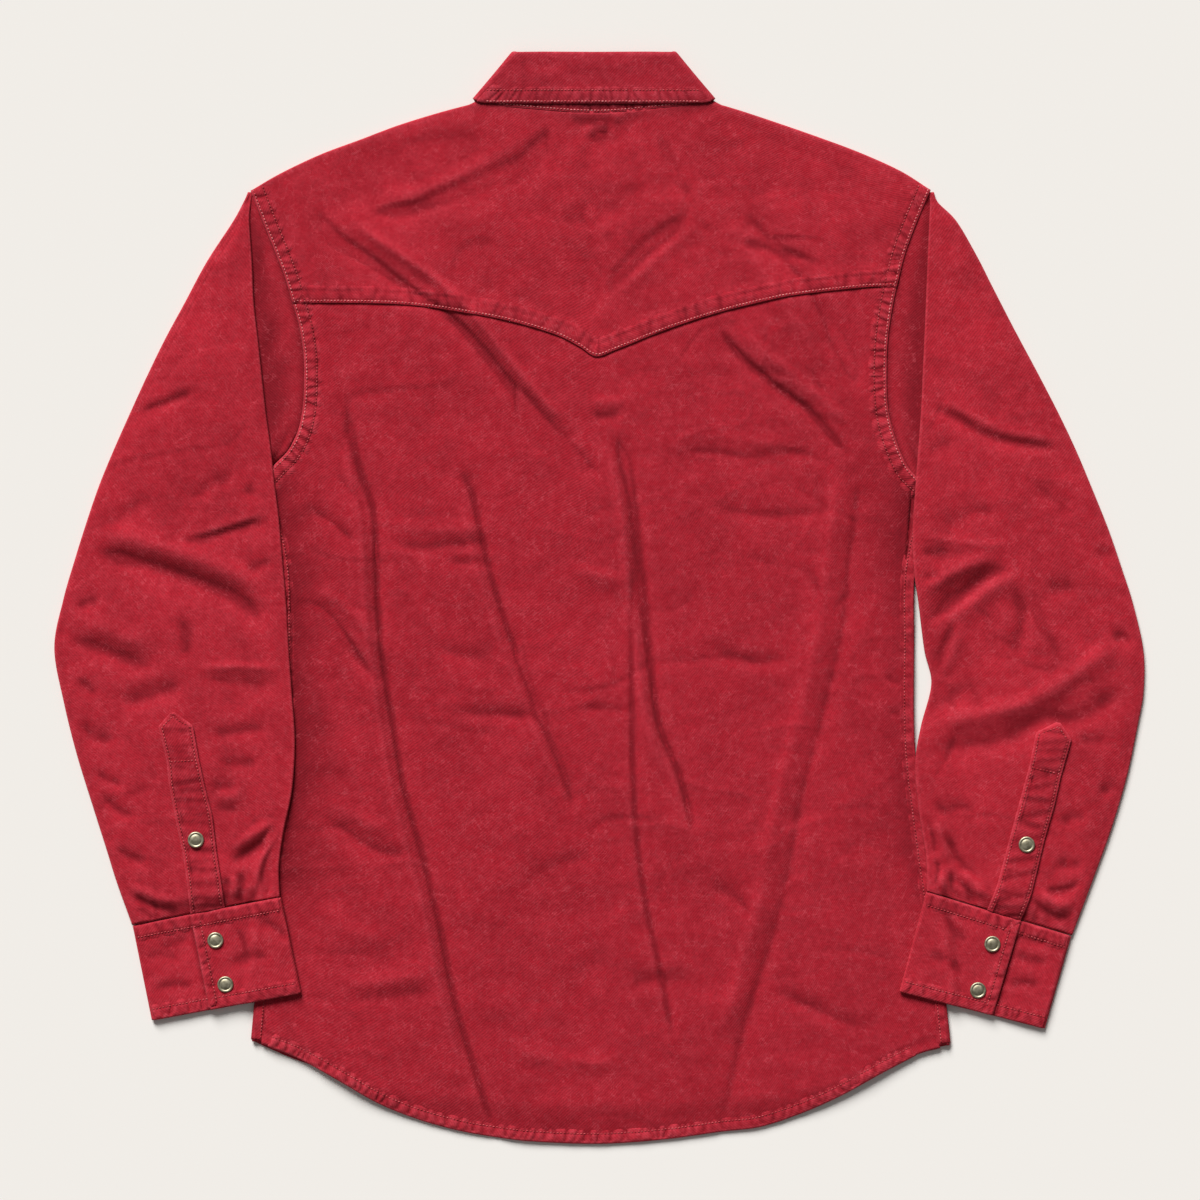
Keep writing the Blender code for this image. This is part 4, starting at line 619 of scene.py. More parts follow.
def seam_band(x, y, path, width, rise, pucker, seed, pitch, side=1.0, reach=1.0):
    """Height and wear of a sewn edge: a raised allowance from the path to the
    row of stitches, the row's groove and the puckers across both."""
    line = spline(path, 5.0)
    z = np.zeros(x.shape)
    wear_and_highlight = np.zeros(x.shape)
    near = close_to(x, y, line, width * 3.0 + 12.0)
    if not near.any():
        return z, wear_and_highlight
    d, run = nearest(x[near], y[near], line)
    d = d * side
    inside = smooth(d / 0.6 + 1.0)
    folds = ripple(run, d, pitch, seed)
    uneven = 0.65 + 0.35 * noise(run, np.zeros_like(run), 40.0, seed + 5)
    raised = rise * (1.0 - smooth((d - width) / 2.0)) * inside
    groove = -0.42 * bump(d - width, 1.3) * inside
    across = bump(d - 0.62 * width, 0.62 * width * reach, 2.5) * inside
    beyond = bump(d - 1.25 * width, 0.8 * width * reach, 2.0) * inside * 0.45
    z[near] = raised + groove + pucker * uneven * (folds - 0.5) * (across + beyond)
    # paler at the edge from rubbing, and on the puckers' crests from rubbing and painted highlight
    wear_and_highlight[near] = unit(0.75 * bump(d, 1.3) + 0.55 * (folds - 0.35) * across)
    return z, wear_and_highlight


def coons(top, bottom, left, right):
    """Grid of plan points filling four edges that share their corners."""
    us = lengths_of(bottom)
    us = (us / us[-1])[None, :, None]
    vs = lengths_of(left)
    vs = (vs / vs[-1])[:, None, None]
    ruled = (1 - vs) * top[None] + vs * bottom[None] + (1 - us) * left[:, None] + us * right[:, None]
    corner = ((1 - us) * (1 - vs) * top[0] + us * (1 - vs) * top[-1]
              + (1 - us) * vs * bottom[0] + us * vs * bottom[-1])
    return ruled - corner


# ---- meshes
def link_object(name, data):
    item = bpy.data.objects.new(name, data)
    bpy.context.scene.collection.objects.link(item)
    return item


def make_mesh(name, points, groups, mat, attributes=None):
    """Mesh object from points in millimetres and groups of faces, where the
    faces of a group have the same number of corners."""
    mesh = bpy.data.meshes.new(name)
    mesh.vertices.add(len(points))
    mesh.vertices.foreach_set("co", (np.asarray(points) * MM).astype(np.float32).ravel())
    corners = np.concatenate([np.ravel(group) for group in groups]).astype(np.int32)
    totals = np.concatenate([np.full(len(group), len(group[0])) for group in groups])
    starts = np.concatenate([[0], np.cumsum(totals)[:-1]])
    mesh.loops.add(len(corners))
    mesh.loops.foreach_set("vertex_index", corners)
    mesh.polygons.add(len(totals))
    mesh.polygons.foreach_set("loop_start", starts.astype(np.int32))
    mesh.polygons.foreach_set("loop_total", totals.astype(np.int32))
    mesh.update(calc_edges=True)
    mesh.validate()
    for key, values in (attributes or {}).items():
        kind, field = ("FLOAT_VECTOR", "vector") if values.ndim == 2 else ("FLOAT", "value")
        layer = mesh.attributes.new(key, kind, "POINT")
        layer.data.foreach_set(field, values.astype(np.float32).ravel())
    mesh.polygons.foreach_set("use_smooth", np.ones(len(totals), dtype=bool))
    mesh.materials.append(mat)
    return link_object(name, mesh)


def local_relief(z, tube, reach=3):
    """How far each point stands above the mean of the cloth close around it."""
    mean = z
    spots = 2 * reach + 1
    for axis in (0, 1):
        mode = "wrap" if tube and axis == 1 else "edge"
        pad = [(reach, reach) if k == axis else (0, 0) for k in (0, 1)]
        padded = np.pad(mean, pad, mode=mode)
        size = z.shape[axis]
        mean = sum(np.take(padded, np.arange(k, k + size), axis=axis) for k in range(spots)) / spots
    return z - mean


def coarse_underside(rows, columns, step, first):
    """Faces of a coarser underside and of the rim that joins it to the top."""
    shape = ((rows - 1) // step + 1, (columns - 1) // step + 1)
    below = first + np.arange(shape[0] * shape[1]).reshape(shape)
    above = np.arange(rows * columns).reshape(rows, columns)
    under = np.stack([below[:-1, :-1], below[:-1, 1:], below[1:, 1:], below[1:, :-1]], axis=2)
    rim = []
    for line, low in ((above[0], below[0]), (above[-1, ::-1], below[-1, ::-1]),
                      (above[::-1, 0], below[::-1, 0]), (above[:, -1], below[:, -1])):
        for k in range(len(low) - 1):
            rim.append([*line[k * step:(k + 1) * step + 1], low[k + 1], low[k]])
    return under.reshape(-1, 4), np.array(rim)


def shell(name, grid, thick, mat, wear_and_highlight=None, deep=None, keep=None, flip=False, tube=False, coarse=1):
    """Closed cloth on both sides of a grid of middle points. A tube's first column
    is joined to its last one, and a coarse underside leaves out points."""
    rows, columns = grid.shape[:2]
    points = grid.reshape(-1, 3)
    r, c = np.meshgrid(np.arange(rows - 1), np.arange(columns - 1), indexing="ij")
    a = (r * columns + c).ravel()
    faces = np.stack([a, a + columns, a + columns + 1, a + 1], axis=1)
    if keep is not None:
        faces = faces[keep.ravel()]
    if tube:
        faces = np.where(faces % columns == columns - 1, faces - columns + 1, faces)
    if flip:
        faces = faces[:, ::-1]
    a, b, c, d = (points[faces[:, k]] for k in range(4))
    face_normals = np.cross(c - a, d - b)
    normals = np.zeros_like(points)
    for k in range(4):
        np.add.at(normals, faces[:, k], face_normals)
    normals = normals / np.maximum(np.linalg.norm(normals, axis=1, keepdims=True), 1e-9)

    # place in the cloth, for the weave; paler ridges, partly rubbed and partly painted highlight; painted
    # shade in the valleys and narrow troughs
    middle = columns // 2
    across = np.linalg.norm(np.diff(grid, axis=1), axis=2)
    u = np.concatenate([np.zeros((rows, 1)), np.cumsum(across, axis=1)], axis=1)
    u = u - u[:, middle:middle + 1]
    v = lengths_of(grid[:, middle])[:, None] + np.zeros((1, columns))
    cloth = xyz(u, v, np.zeros_like(u)).reshape(-1, 3) * MM
    relief = local_relief(grid[..., 2], tube)
    wear_and_highlight = np.zeros(relief.shape) if wear_and_highlight is None else wear_and_highlight
    # painted highlight: ridges of the relief made paler, added to the rubbed places passed in
    wear_and_highlight = unit(wear_and_highlight + 0.35 * unit(relief / 0.5 - 0.2)).ravel()
    # painted shade: narrow troughs and valleys of the relief get a darker colour
    narrow = np.clip(-local_relief(grid[..., 2], tube, 1) / 0.15 - 0.3, 0.0, 1.6)
    narrow = unit(narrow - local_relief(narrow, tube, 1))
    painted_shade = np.maximum(np.clip(-relief / 0.6 - 0.15, 0.0, 0.8), narrow)
    deep = painted_shade.ravel() if deep is None else np.maximum(painted_shade, deep).ravel()
    # the deep layer holds the painted shade
    layers = {"cloth": cloth, "wear_and_highlight": wear_and_highlight, "deep": deep}

    if coarse > 1:
        lower = (points - normals * thick / 2).reshape(rows, columns, 3)[::coarse, ::coarse]
        under, rim = coarse_underside(rows, columns, coarse, len(points))
        chosen = np.arange(len(points)).reshape(rows, columns)[::coarse, ::coarse].ravel()
        both = {key: np.concatenate([values, values[chosen]]) for key, values in layers.items()}
        body = np.concatenate([points + normals * thick / 2, lower.reshape(-1, 3)])
        return make_mesh(name, body, [faces, under, rim], mat, both)
    used = np.unique(faces)
    place = np.full(len(points), -1)
    count = len(used)
    place[used] = np.arange(count)
    faces = place[faces]
    half = normals[used] * thick / 2
    body = np.concatenate([points[used] + half, points[used] - half])
    starts = faces.ravel()
    ends = np.roll(faces, -1, axis=1).ravel()
    open_edge = ~np.isin(starts.astype(np.int64) * count + ends, ends.astype(np.int64) * count + starts)
    i, j = starts[open_edge], ends[open_edge]
    rim = np.stack([j, i, i + count, j + count], axis=1)
    both = {key: np.concatenate([values[used]] * 2) for key, values in layers.items()}
    return make_mesh(name, body, [faces, faces[:, ::-1] + count, rim], mat, both)


def tree_of(item):
    mesh = item.data
    points = [v.co.copy() for v in mesh.vertices]
    return BVHTree.FromPolygons(points, [tuple(p.vertices) for p in mesh.polygons])


def height_on(trees, x, y):
    """Height of the highest of some pieces at a point, 0 beside them."""
    top = 0.0
    for tree in trees:
        hit = tree.ray_cast(Vector((x * MM, y * MM, 1.0)), Vector((0.0, 0.0, -1.0)))
        if hit[0] is not None:
            top = max(top, hit[0].z / MM)
    return top


def register(item, nodes=()):
    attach(item, "root")
    if nodes:
        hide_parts(*nodes)
    return item


# ---- heights of the body's layers
def neck_lift(x, y):
    reach = np.hypot((x - LEAF_MIDDLE[0]) / LEAF_REACH[0], (y - LEAF_MIDDLE[1]) / LEAF_REACH[1])
    return 1.0 - smooth((reach - 1.02) / 0.3)


def left_front_height(x, y):
    return FRONT_Z + NECK_LIFT * neck_lift(x, y) * smooth((-19.0 - x) / 9.0)


def right_front_height(x, y):
    over_placket = 1.0 - smooth((x - PLACKET_HALF - 3.5) / 15.0)
    return FRONT_Z + NECK_LIFT * np.maximum(neck_lift(x, y), over_placket)


def side_front_height(x, y):
    return FRONT_Z + NECK_LIFT * neck_lift(x, y)


def back_height(x, y):
    edge = np.minimum(*(beside(x, y, line)[0] for line in (LEFT_EDGE, RIGHT_EDGE)))
    dome = smooth((edge - 25.0) / 60.0) * DOME_RISE / NECK_LIFT
    rise = NECK_LIFT * np.maximum(dome, neck_lift(x, y))
    soft = smooth((edge - 2.0) / 14.0) * (1.0 - 0.1 * neck_lift(x, y))
    folds = creases(x, y, BACK_CREASES)
    rise = rise + folds * soft
    rise = rise + crumple(x, y, 11, 1.7) * (0.3 + 0.7 * soft)
    lowest = np.where(np.abs(x) < 60.0, right_front_height(x, y), side_front_height(x, y))
    height = np.maximum(FRONT_Z + FOLD_RISE + rise, lowest + BACK_CLEAR)
    # 1 over the fronts, 0 where the back's tail hangs past them and rests lower
    over = smooth((y - at_x(HEM_FRONT, x) + 29.0) / 27.0)
    resting = FRONT_Z + 0.25 + np.clip(crumple(x, y, 11, 1.0) + 0.7 * (1 - over) + 0.5 * folds, 0.0, 2.0)
    return resting + (height - resting) * over


# ---- body pieces
def armhole_bands(x, y):
    left, left_wear = seam_band(x, y, ARMHOLE_LEFT, ARM_BAND, 0.1, 0.3, 21, 9.0, 1.0)
    right, right_wear = seam_band(x, y, ARMHOLE_RIGHT, ARM_BAND, 0.1, 0.3, 24, 9.0, -1.0)
    return left + right, np.maximum(left_wear, right_wear)


def trimmed(path, high, low):
    """The part of a falling path between two heights."""
    inner = [p for p in path if low < p[1] < high]
    return [(float(at_y(path, high)), high)] + inner + [(float(at_y(path, low)), low)]


def shade_beside_sleeves(x, y):
    """1 where the sleeves lie on or close to the body; there the colour is darkened as painted shade from
    the sleeves.
    """
    shade = np.zeros(x.shape)
    for side, rows in ((-1, SLEEVE_LEFT), (1, SLEEVE_RIGHT)):
        edge = np.interp(-y, [-row[3] for row in rows], [row[2] for row in rows])
        inward = (edge - x) * side
        uneven = 1.0 + 0.4 * noise(x, y, 45.0, 66)
        below = smooth((165.0 - y) / 40.0) * smooth((y + 235.0) / 30.0)
        shade = np.maximum(shade, bump(np.maximum(inward, 0.0), 19.0 * uneven, 1.4) * below)
    return shade


def build_back(mat):
    row_count, column_count = 295, 292
    top_path = [(x, y + TUCK) for x, y in YOKE_SEAM]
    edges = []
    for side, end in ((-1, 0), (1, -1)):
        path = trimmed(ARMHOLE[side], top_path[end][1], ARMHOLE_FOOT)
        path += [(x - side * (SIDE_TURN - 0.8), y) for x, y in FLANK[side][1:]]
        path[-1] = (path[-1][0], float(at_x(HEM_BACK, path[-1][0])))
        edges.append(resample(path, span(row_count)))
    left, right = edges
    seam = resample(spline(top_path, 3.0), span(column_count))
    seam[0], seam[-1] = left[0], right[0]
    hem_path = [p for p in HEM_BACK if left[-1][0] < p[0] < right[-1][0]]
    hem_path = [tuple(left[-1])] + hem_path + [tuple(right[-1])]
    hem = resample(spline(hem_path, 3.0), span(column_count))
    hem[0], hem[-1] = left[-1], right[-1]
    plan = coons(seam, hem, left, right)
    x, y = plan_of(plan)
    bands, wear_and_highlight = armhole_bands(x, y)
    hem_z, hem_wear = seam_band(x, y, hem_path, HEM_BAND, 0.1, 0.3, 31, 9.0)
    under_d, fold_run = nearest(x, y, spline(YOKE_SEAM, 5.0))
    # the top edge dips under the yoke and is drawn in by its stitches
    seam_z = -0.75 * smooth((under_d + 2.5) / 2.5)
    seam_z = seam_z + 0.5 * (ripple(fold_run, under_d, 8.0, 55) - 0.5) * bump(under_d + 4.0, 5.0)
    grid = xyz(x, y, back_height(x, y) + bands + hem_z + seam_z)
    # painted shade beside the sleeves and along the right side next to the right sleeve, and darker toward
    # the hem
    shade_by_right_sleeve = 0.55 * bump(at_y(SIDE_RIGHT, y) - x - 2.0, 15.0, 1.6)
    shade_by_right_sleeve = shade_by_right_sleeve * smooth((y + 10.0) / 60.0) * (1.0 - smooth((y - 175.0) / 40.0))
    lower = 0.08 * smooth((-90.0 - y) / 160.0)
    shade = unit(shade_beside_sleeves(x, y) + shade_by_right_sleeve + lower)
    item = shell("back_panel", grid, PANEL, mat, np.maximum(wear_and_highlight, hem_wear), shade, coarse=3)
    return register(item, ["back"])


def shoulder_line(side, count):
    return resample(spline(SHOULDER[side], 3.0), span(count))


def front_seam_path(side):
    """Seam on the front between the shoulder fold's cloth and the front."""
    drop = FOLD_RISE / 2 + PANEL / 2 + FRONT_YOKE
    line = shoulder_line(side, 9)[::-side]
    first_x = float(at_y(ARMHOLE[side], line[0][1] - drop))
    last_x = float(at_y(NECK_FRONT[side], line[-1][1] - drop))
    share = (line[:, 0] - line[0, 0]) / (line[-1, 0] - line[0, 0])
    return np.stack([first_x + (last_x - first_x) * share, line[:, 1] - drop], axis=1)


def build_yoke(mat):
    shoulder_count, neck_count, row_count = 108, 100, 62
    turn = FOLD_RISE / 2
    dip = turn + PANEL / 2
    neck = resample(spline(NECK_BACK, 3.0), span(neck_count))[1:-1]
    left_top, right_top = (shoulder_line(side, shoulder_count) - (0.0, dip) for side in (-1, 1))
    top = np.concatenate([left_top, neck, right_top])
    first = shoulder_count - 1
    columns = len(top)
    last = columns - shoulder_count
    # the fold's drop fades in beside the neck, so the top edge has no step
    for k in range(4):
        top[[first - k, last + k], 1] += dip * (1.0 - k / 4)
    shares = lengths_of(top)
    seam = resample(spline(YOKE_SEAM, 3.0), shares / shares[-1])
    left, right = (resample(trimmed(ARMHOLE[side], top[end][1], seam[end][1]), span(row_count))
                   for side, end in ((-1, 0), (1, -1)))
    top[0], top[-1] = left[0], right[0]
    seam[0], seam[-1] = left[-1], right[-1]
    plan = coons(top, seam, left, right)
    x, y = plan_of(plan)
    fold_level = side_front_height(x, y) + FOLD_RISE
    from_top = np.cumsum(np.linalg.norm(np.diff(plan, axis=0, prepend=plan[:1]), axis=2), axis=0)
    z = fold_level + (back_height(x, y) - fold_level) * smooth(from_top / 9.0)
    yoke_d, _ = nearest(x, y, spline(YOKE_SEAM, 5.0))
    lift = 0.55 * (1.0 - smooth((yoke_d - 10.0) / 8.0))
    edge_z, edge_wear = seam_band(x, y, YOKE_SEAM, YOKE_BAND, 0.1, 0.2, 41, 9.0, 1.0, 1.2)
    stitched = -0.25 * bump(yoke_d - 1.5, 0.9)
    bands, wear_and_highlight = armhole_bands(x, y)
    neck_z, neck_wear = seam_band(x, y, NECK_BACK, 6.0, 0.1, 0.2, 47, 6.0, -1.0)
    wear_and_highlight = np.maximum(np.maximum(wear_and_highlight, edge_wear), 0.6 * neck_wear)
    back_part = xyz(x, y, z + lift + edge_z + stitched + bands + neck_z)

    # the part on the fronts, and the fold over the shoulders; there is none at the neck
    low = top - (0.0, FRONT_YOKE)
    low[:first + 1] = resample(front_seam_path(-1), span(first + 1))
    low[last:] = resample(front_seam_path(1)[::-1], span(columns - last))
    rows = []
    for share in (0.0, 0.12, 0.25, 0.38, 0.5, 0.62, 0.75, 0.88, 1.0):
        line = low * (1 - share) + top * share
        line[0, 0] = at_y(ARMHOLE_LEFT, line[0, 1])
        line[-1, 0] = at_y(ARMHOLE_RIGHT, line[-1, 1])
        x, y = line.T
        rows.append(xyz(x, y, side_front_height(x, y) + 0.08 * (noise(x, y, 22.0, 61) + 1.0)))
    x, y = top.T
    for arc in ARCS:
        rows.append(xyz(x, y + turn * np.cos(arc), side_front_height(x, y) + turn + turn * np.sin(arc)))
    turned = len(rows)
    grid = np.concatenate([np.array(rows), back_part])
    keep = np.ones((grid.shape[0] - 1, columns - 1), bool)
    keep[:turned, first:last] = False
    full_wear = np.concatenate([np.zeros((turned, columns)), wear_and_highlight])
    full_wear[turned - len(ARCS):turned + 2] = 0.35
    return register(shell("yoke_panel", grid, PANEL, mat, full_wear, keep=keep), ["yoke"])


def build_front(name, side, height, mat):
    column_count, arm_count, flank_count, wrap_count = 40, 44, 150, 8
    turn = FOLD_RISE / 2
    inset = -side * (turn + PANEL / 2)
    throat_x, throat_y = (-18.6, 296.0) if side < 0 else (-14.0, 295.6)
    seam = front_seam_path(side) - (0.0, 0.6)
    top_path = [tuple(p) for p in seam]
    top_path += [p for p in NECK_FRONT[side] if throat_y + 1.0 < p[1] < seam[-1][1] - 4.0]
    top_path += [(throat_x, throat_y)]
    top = resample(top_path, span(column_count))
    arm = trimmed(ARMHOLE[side], top[0][1], ARMHOLE[side][-1][1])
    top[0] = arm[0]
    flank_path = [(x + inset, y) for x, y in FLANK[side]]
    flank_rows = resample(flank_path, span(flank_count))
    outer = np.concatenate([resample(arm, span(arm_count))[:-1], flank_rows])
    hem_path = [p for p in HEM_FRONT[::-side] if side * throat_x < side * p[0] < side * outer[-1][0]]
    hem_end = (throat_x * 1.02, float(at_x(HEM_FRONT, throat_x)))
    hem = resample([tuple(outer[-1])] + hem_path + [hem_end], span(column_count))
    shares = lengths_of(outer)
    middle = resample([tuple(top[-1]), tuple(hem[-1])], shares / shares[-1])
    plan = coons(top, hem, outer, middle)
    x, y = plan_of(plan)
    inner = smooth(np.abs(x - plan[:, :1, 0]) / 25.0)
    z = height(x, y) + 0.05 * (noise(x, y, 26.0, 71) + 1.0) * inner
    _, hem_wear = seam_band(x, y, HEM_FRONT, HEM_BAND, 0.0, 0.15, 73, 6.5)

    # the side's cloth, turned over the edge onto the back
    x0, y0 = plan[:, 0, 0], plan[:, 0, 1]
    low = side_front_height(x0, y0)
    strip = SIDE_TURN - turn - PANEL / 2
    _, run = nearest(x0, y0, np.array(flank_path))
    wraps = []
    for share in np.linspace(1.0, 0.0, wrap_count):
        reach = strip * share
        puckers = 0.8 * (ripple(run, np.full_like(run, reach), 9.0, 81 + side) - 0.35)
        puckers = puckers * arch(min(1.0, share + 0.15))
        groove = -0.25 if 0.2 < share < 0.35 else 0.0
        wraps.append(xyz(x0 - side * reach, y0, low + FOLD_RISE + 0.35 + puckers + groove))
    for arc in ARCS[::-1]:
        wraps.append(xyz(x0 + side * turn * np.cos(arc), y0, low + turn + turn * np.sin(arc)))
    grid = np.concatenate([np.stack(wraps, axis=1), xyz(x, y, z)], axis=1)
    keep = np.ones((grid.shape[0] - 1, grid.shape[1] - 1), bool)
    keep[:arm_count - 1, :len(wraps)] = False
    wear_and_highlight = np.zeros(grid.shape[:2])
    wear_and_highlight[:, :2] = 0.1
    wear_and_highlight[:, wrap_count:wrap_count + 4] = 0.3
    wear_and_highlight[:, len(wraps):] = hem_wear
    # painted shade beside the sleeves, and two painted shade lines along the turned strip
    deep = shade_beside_sleeves(*plan_of(grid))
    deep[:, 2] = np.maximum(deep[:, 2], 0.7)
    deep[:, 4] = np.maximum(deep[:, 4], 0.4)
    item = shell(f"{name}_panel", grid, PANEL, mat, wear_and_highlight, deep, keep=keep, flip=side < 0)
    return register(item, [name])


# ---- sleeves
def sleeve_curve(table):
    """Sleeve rows on smooth curves, about 2.2 mm apart."""
    rows = np.array(table, float)
    keys = np.arange(len(rows))
    steps = np.linalg.norm(np.diff(rows[:, :2], axis=0), axis=1)
    counts = np.maximum(2, np.round(steps / 2.15)).astype(int)
    marks = np.concatenate([k + np.arange(n) / n for k, n in zip(keys, counts)] + [[keys[-1]]])
    padded = np.vstack([2 * rows[0] - rows[1], rows, 2 * rows[-1] - rows[-2]])
    k = np.minimum(marks.astype(int), len(rows) - 2)
    curve = curve_at(padded[k], padded[k + 1], padded[k + 2], padded[k + 3], (marks - k)[:, None])
    curve[:, 4] = np.interp(marks, keys, np.where(rows[:, 4] > 0, rows[:, 4], 4.2))
    return curve, marks


def sleeve_lines(side, table):
    """Centres of a sleeve's two folds, the way between them and its length, where
    the rise onto the body starts and ends, how high it is, and the row marks."""
    curve, marks = sleeve_curve(table)
    outer, inner = curve[:, :2], curve[:, 2:4]
    width = np.linalg.norm(outer - inner, axis=1)[:, None]
    out = (outer - inner) / width
    most = 0.35 * width
    inner = inner + out * np.minimum(INNER_TURN + PANEL / 2, most)
    outer = outer - out * np.minimum(OUTER_TURN + PANEL / 2, most)
    run = np.linalg.norm(outer - inner, axis=1)
    closed_head = np.abs(at_y(FLANK[side], inner[:, 1])) + 2.0 - side * inner[:, 0]
    share = smooth(marks - UNDERARM_ROW)
    head = 6.0 * (1 - share) + closed_head * share
    narrow = run < 20.0
    foot = np.where(narrow, run * 0.9, head + 10.0)
    head = np.where(narrow, run * 0.25, head)
    rise = np.where(marks <= UNDERARM_ROW, curve[:, 4] - FRONT_Z, OVER_RISE)
    return inner, outer, out, run, head, foot, rise, marks


def build_sleeve(name, side, table, folds, seed, mat):
    inner, outer, out, run, head, foot, rise, _ = sleeve_lines(side, table)
    upper, lower = 72, 12
    count = len(run)
    arcs = np.radians((-90.0, -60.0, -30.0, 0.0, 30.0, 60.0, 90.0))
    base = FRONT_Z + rise * smooth(foot / (foot - head))
    high = base + 2 * INNER_TURN
    outer_high = FRONT_Z + 2 * OUTER_TURN
    covered = np.maximum(head, 1.0) + 2.0
    climb = np.maximum(2.0, np.minimum(24.0, run - covered - 3.0))
    full = np.minimum(1.0, run / 80.0)
    parts = []
    floors = []
    # round the inner fold
    for arc in arcs:
        x, y = (inner - out * (INNER_TURN * np.cos(arc))).T
        parts.append(xyz(x, y, base + INNER_TURN + INNER_TURN * np.sin(arc)))
    # the upper layer, which comes down from the body and is puffed and creased
    spread = span(upper + 2)[1:-1]
    spread = spread - 0.06 * np.sin(2 * np.pi * spread)
    for share in spread:
        x, y = (inner * (1 - share) + outer * share).T
        fall = smooth((share * run - covered) / climb)
        z = high + (outer_high - high) * fall
        z = z + PUFF * full * arch(share) ** 0.7 * fall
        z = z + PUFF * 0.25 * arch(share) * (1 - fall) * full
        fade = smooth((1.0 - share) * run / 14.0) * smooth(share * run / 9.0 + 0.15)
        fade = fade * smooth((count - 1 - np.arange(count)) / 6.0 + 0.25)
        z = z + creases(x, y, folds, 0.8) * fade
        z = z + crumple(x, y, seed, 1.5, 0.8) * (0.25 + 0.75 * fade)
        floors.append(FRONT_Z + 0.4 + PANEL + rise * smooth((foot - share * run) / (foot - head)))
        parts.append(xyz(x, y, np.maximum(z, floors[-1])))
    # round the outer fold, and back along the lower layer
    for arc in arcs[::-1]:
        x, y = (outer + out * (OUTER_TURN * np.cos(arc))).T
        parts.append(xyz(x, y, np.full(count, FRONT_Z + OUTER_TURN + OUTER_TURN * np.sin(arc))))
    for share in np.linspace(1.0, 0.0, lower + 2)[1:-1] ** 1.5:
        x, y = (inner * (1 - share) + outer * share).T
        parts.append(xyz(x, y, FRONT_Z + rise * smooth((foot - share * run) / (foot - head))))
    parts.append(parts[0])
    grid = np.stack(parts, axis=1)
    x, y, z = (grid[..., k] for k in range(3))
    # flatter toward the sleeve's pointed head
    tip = smooth((table[0][1] - y[:, :1]) / 14.0)
    z[:] = (z - FRONT_Z - 0.4) * (0.35 + 0.65 * tip) + FRONT_Z + 0.4
    above = slice(len(arcs), len(arcs) + upper)
    top = np.zeros(grid.shape[:2])
    top[:, above] = 1.0
    # the outer edge is pinched, with two rows of stitches beside it
    outer_edge = sleeve_curve(table)[0][::6, :2]
    d, along = beside(x, y, spline(outer_edge, 6.0))
    pucker = 0.5 * (ripple(along, d, 8.0, seed + 60) - 0.5) * bump(d - 4.0, 5.0) * top
    stitch = -0.18 * (bump(d - 6.2, 0.9) + bump(d - 3.2, 0.9)) * top
    z += pucker + stitch
    # the cloth sinks into the cuff and is gathered there
    gather = np.linalg.norm(grid - grid[-1:, :, :], axis=2)
    close = bump(gather, 15.0, 1.6) * top
    target = np.zeros(grid.shape[:2])
    target[:, above] = np.stack(floors, axis=1) + 0.9
    sink = (1.0 - smooth(gather / 13.0)) * top
    z[:] = z * (1.0 - sink) + np.minimum(z, target) * sink
    across = lengths_of(grid[-1])[None, :] + 0.0 * gather
    tucks = 1.0 - ticks(across / 2.2, 0.5 * gather, 5.0, seed + 70)
    z += 2.4 * (tucks - 0.65) * close * smooth(gather / 3.0)
    # paler along the outer edge from rubbing, and on the gathered tucks from rubbing and painted highlight
    wear_and_highlight = unit(0.55 * bump(d, 2.2) + 0.35 * (tucks - 0.4) * close)
    wear_and_highlight[:, :len(arcs)] = np.maximum(wear_and_highlight[:, :len(arcs)], 0.3)
    return shell(name, grid, PANEL, mat, wear_and_highlight, flip=side < 0, tube=True)


def build_gusset(name, side, table, seed, mat):
    """Sleeve cloth between the armhole seam and the underside of the inner edge."""
    columns = 22
    # rows that lead on from the sleeve's last sewn row to the underarm
    row_ends = (97.5,) if side < 0 else (103.0, 98.0, 93.0, 89.0, 85.5)
    inner, _, out, run, head, foot, rise, marks = sleeve_lines(side, table)
    use = marks <= UNDERARM_ROW
    rest = (FRONT_Z + rise * smooth(foot / (foot - head)))[use]
    inner, out, run = inner[use], out[use], run[use]
    for y_end in row_ends:
        inner = np.vstack([inner, [inner[-1] + (0.3 * -side, y_end - inner[-1][1])]])
        out = np.vstack([out, out[-1:]])
        run = np.append(run, run[-1])
        rest = np.append(rest, rest[-1])
    ys = inner[:, 1]
    apart = -1.2 + (2.0 if side < 0 else 0.4) * smooth((140.0 - ys) / 30.0)
    seam = np.column_stack([at_y(ARMHOLE[side], ys) + side * apart, ys])
    end = inner + out * np.minimum(GUSSET_UNDER, run * 0.7)[:, None]
    grid = np.zeros((len(ys), columns, 3))
    for c in range(columns):
        share = c / (columns - 1)
        x, y = (seam * (1 - share) + end * share).T
        z = FRONT_Z + FOLD_RISE - 0.45
        z = z + (rest - 0.75 - z) * smooth(share * 1.3)
        ripples = 0.9 * noise(y * 0.6 + 30 * share, x * 0.5, 11.0, seed)
        z = z + ripples * arch(share) * 0.8
        grid[:, c] = xyz(x, y, np.maximum(z, FRONT_Z + 0.2))
    shares = span(columns)[None, :] + np.zeros((len(ys), 1))
    shade = 0.25 + 0.75 * smooth((shares - 0.2) / 0.5) + 1.2 * bump(shares, 0.095)
    return shell(name, grid, PANEL * 0.8, mat, None, unit(shade), flip=side < 0)


def placket_bar(table):
    """Row of stitches across a placket, under its point."""
    rows = np.array(table, float)
    below_point = [0.19]  # share of the strip's length
    left, right = (resample(rows[1:, part], below_point)[0] for part in (slice(0, 2), slice(2, 4)))
    return [tuple(lerp(left, right, 0.1)), tuple(lerp(left, right, 0.9))]


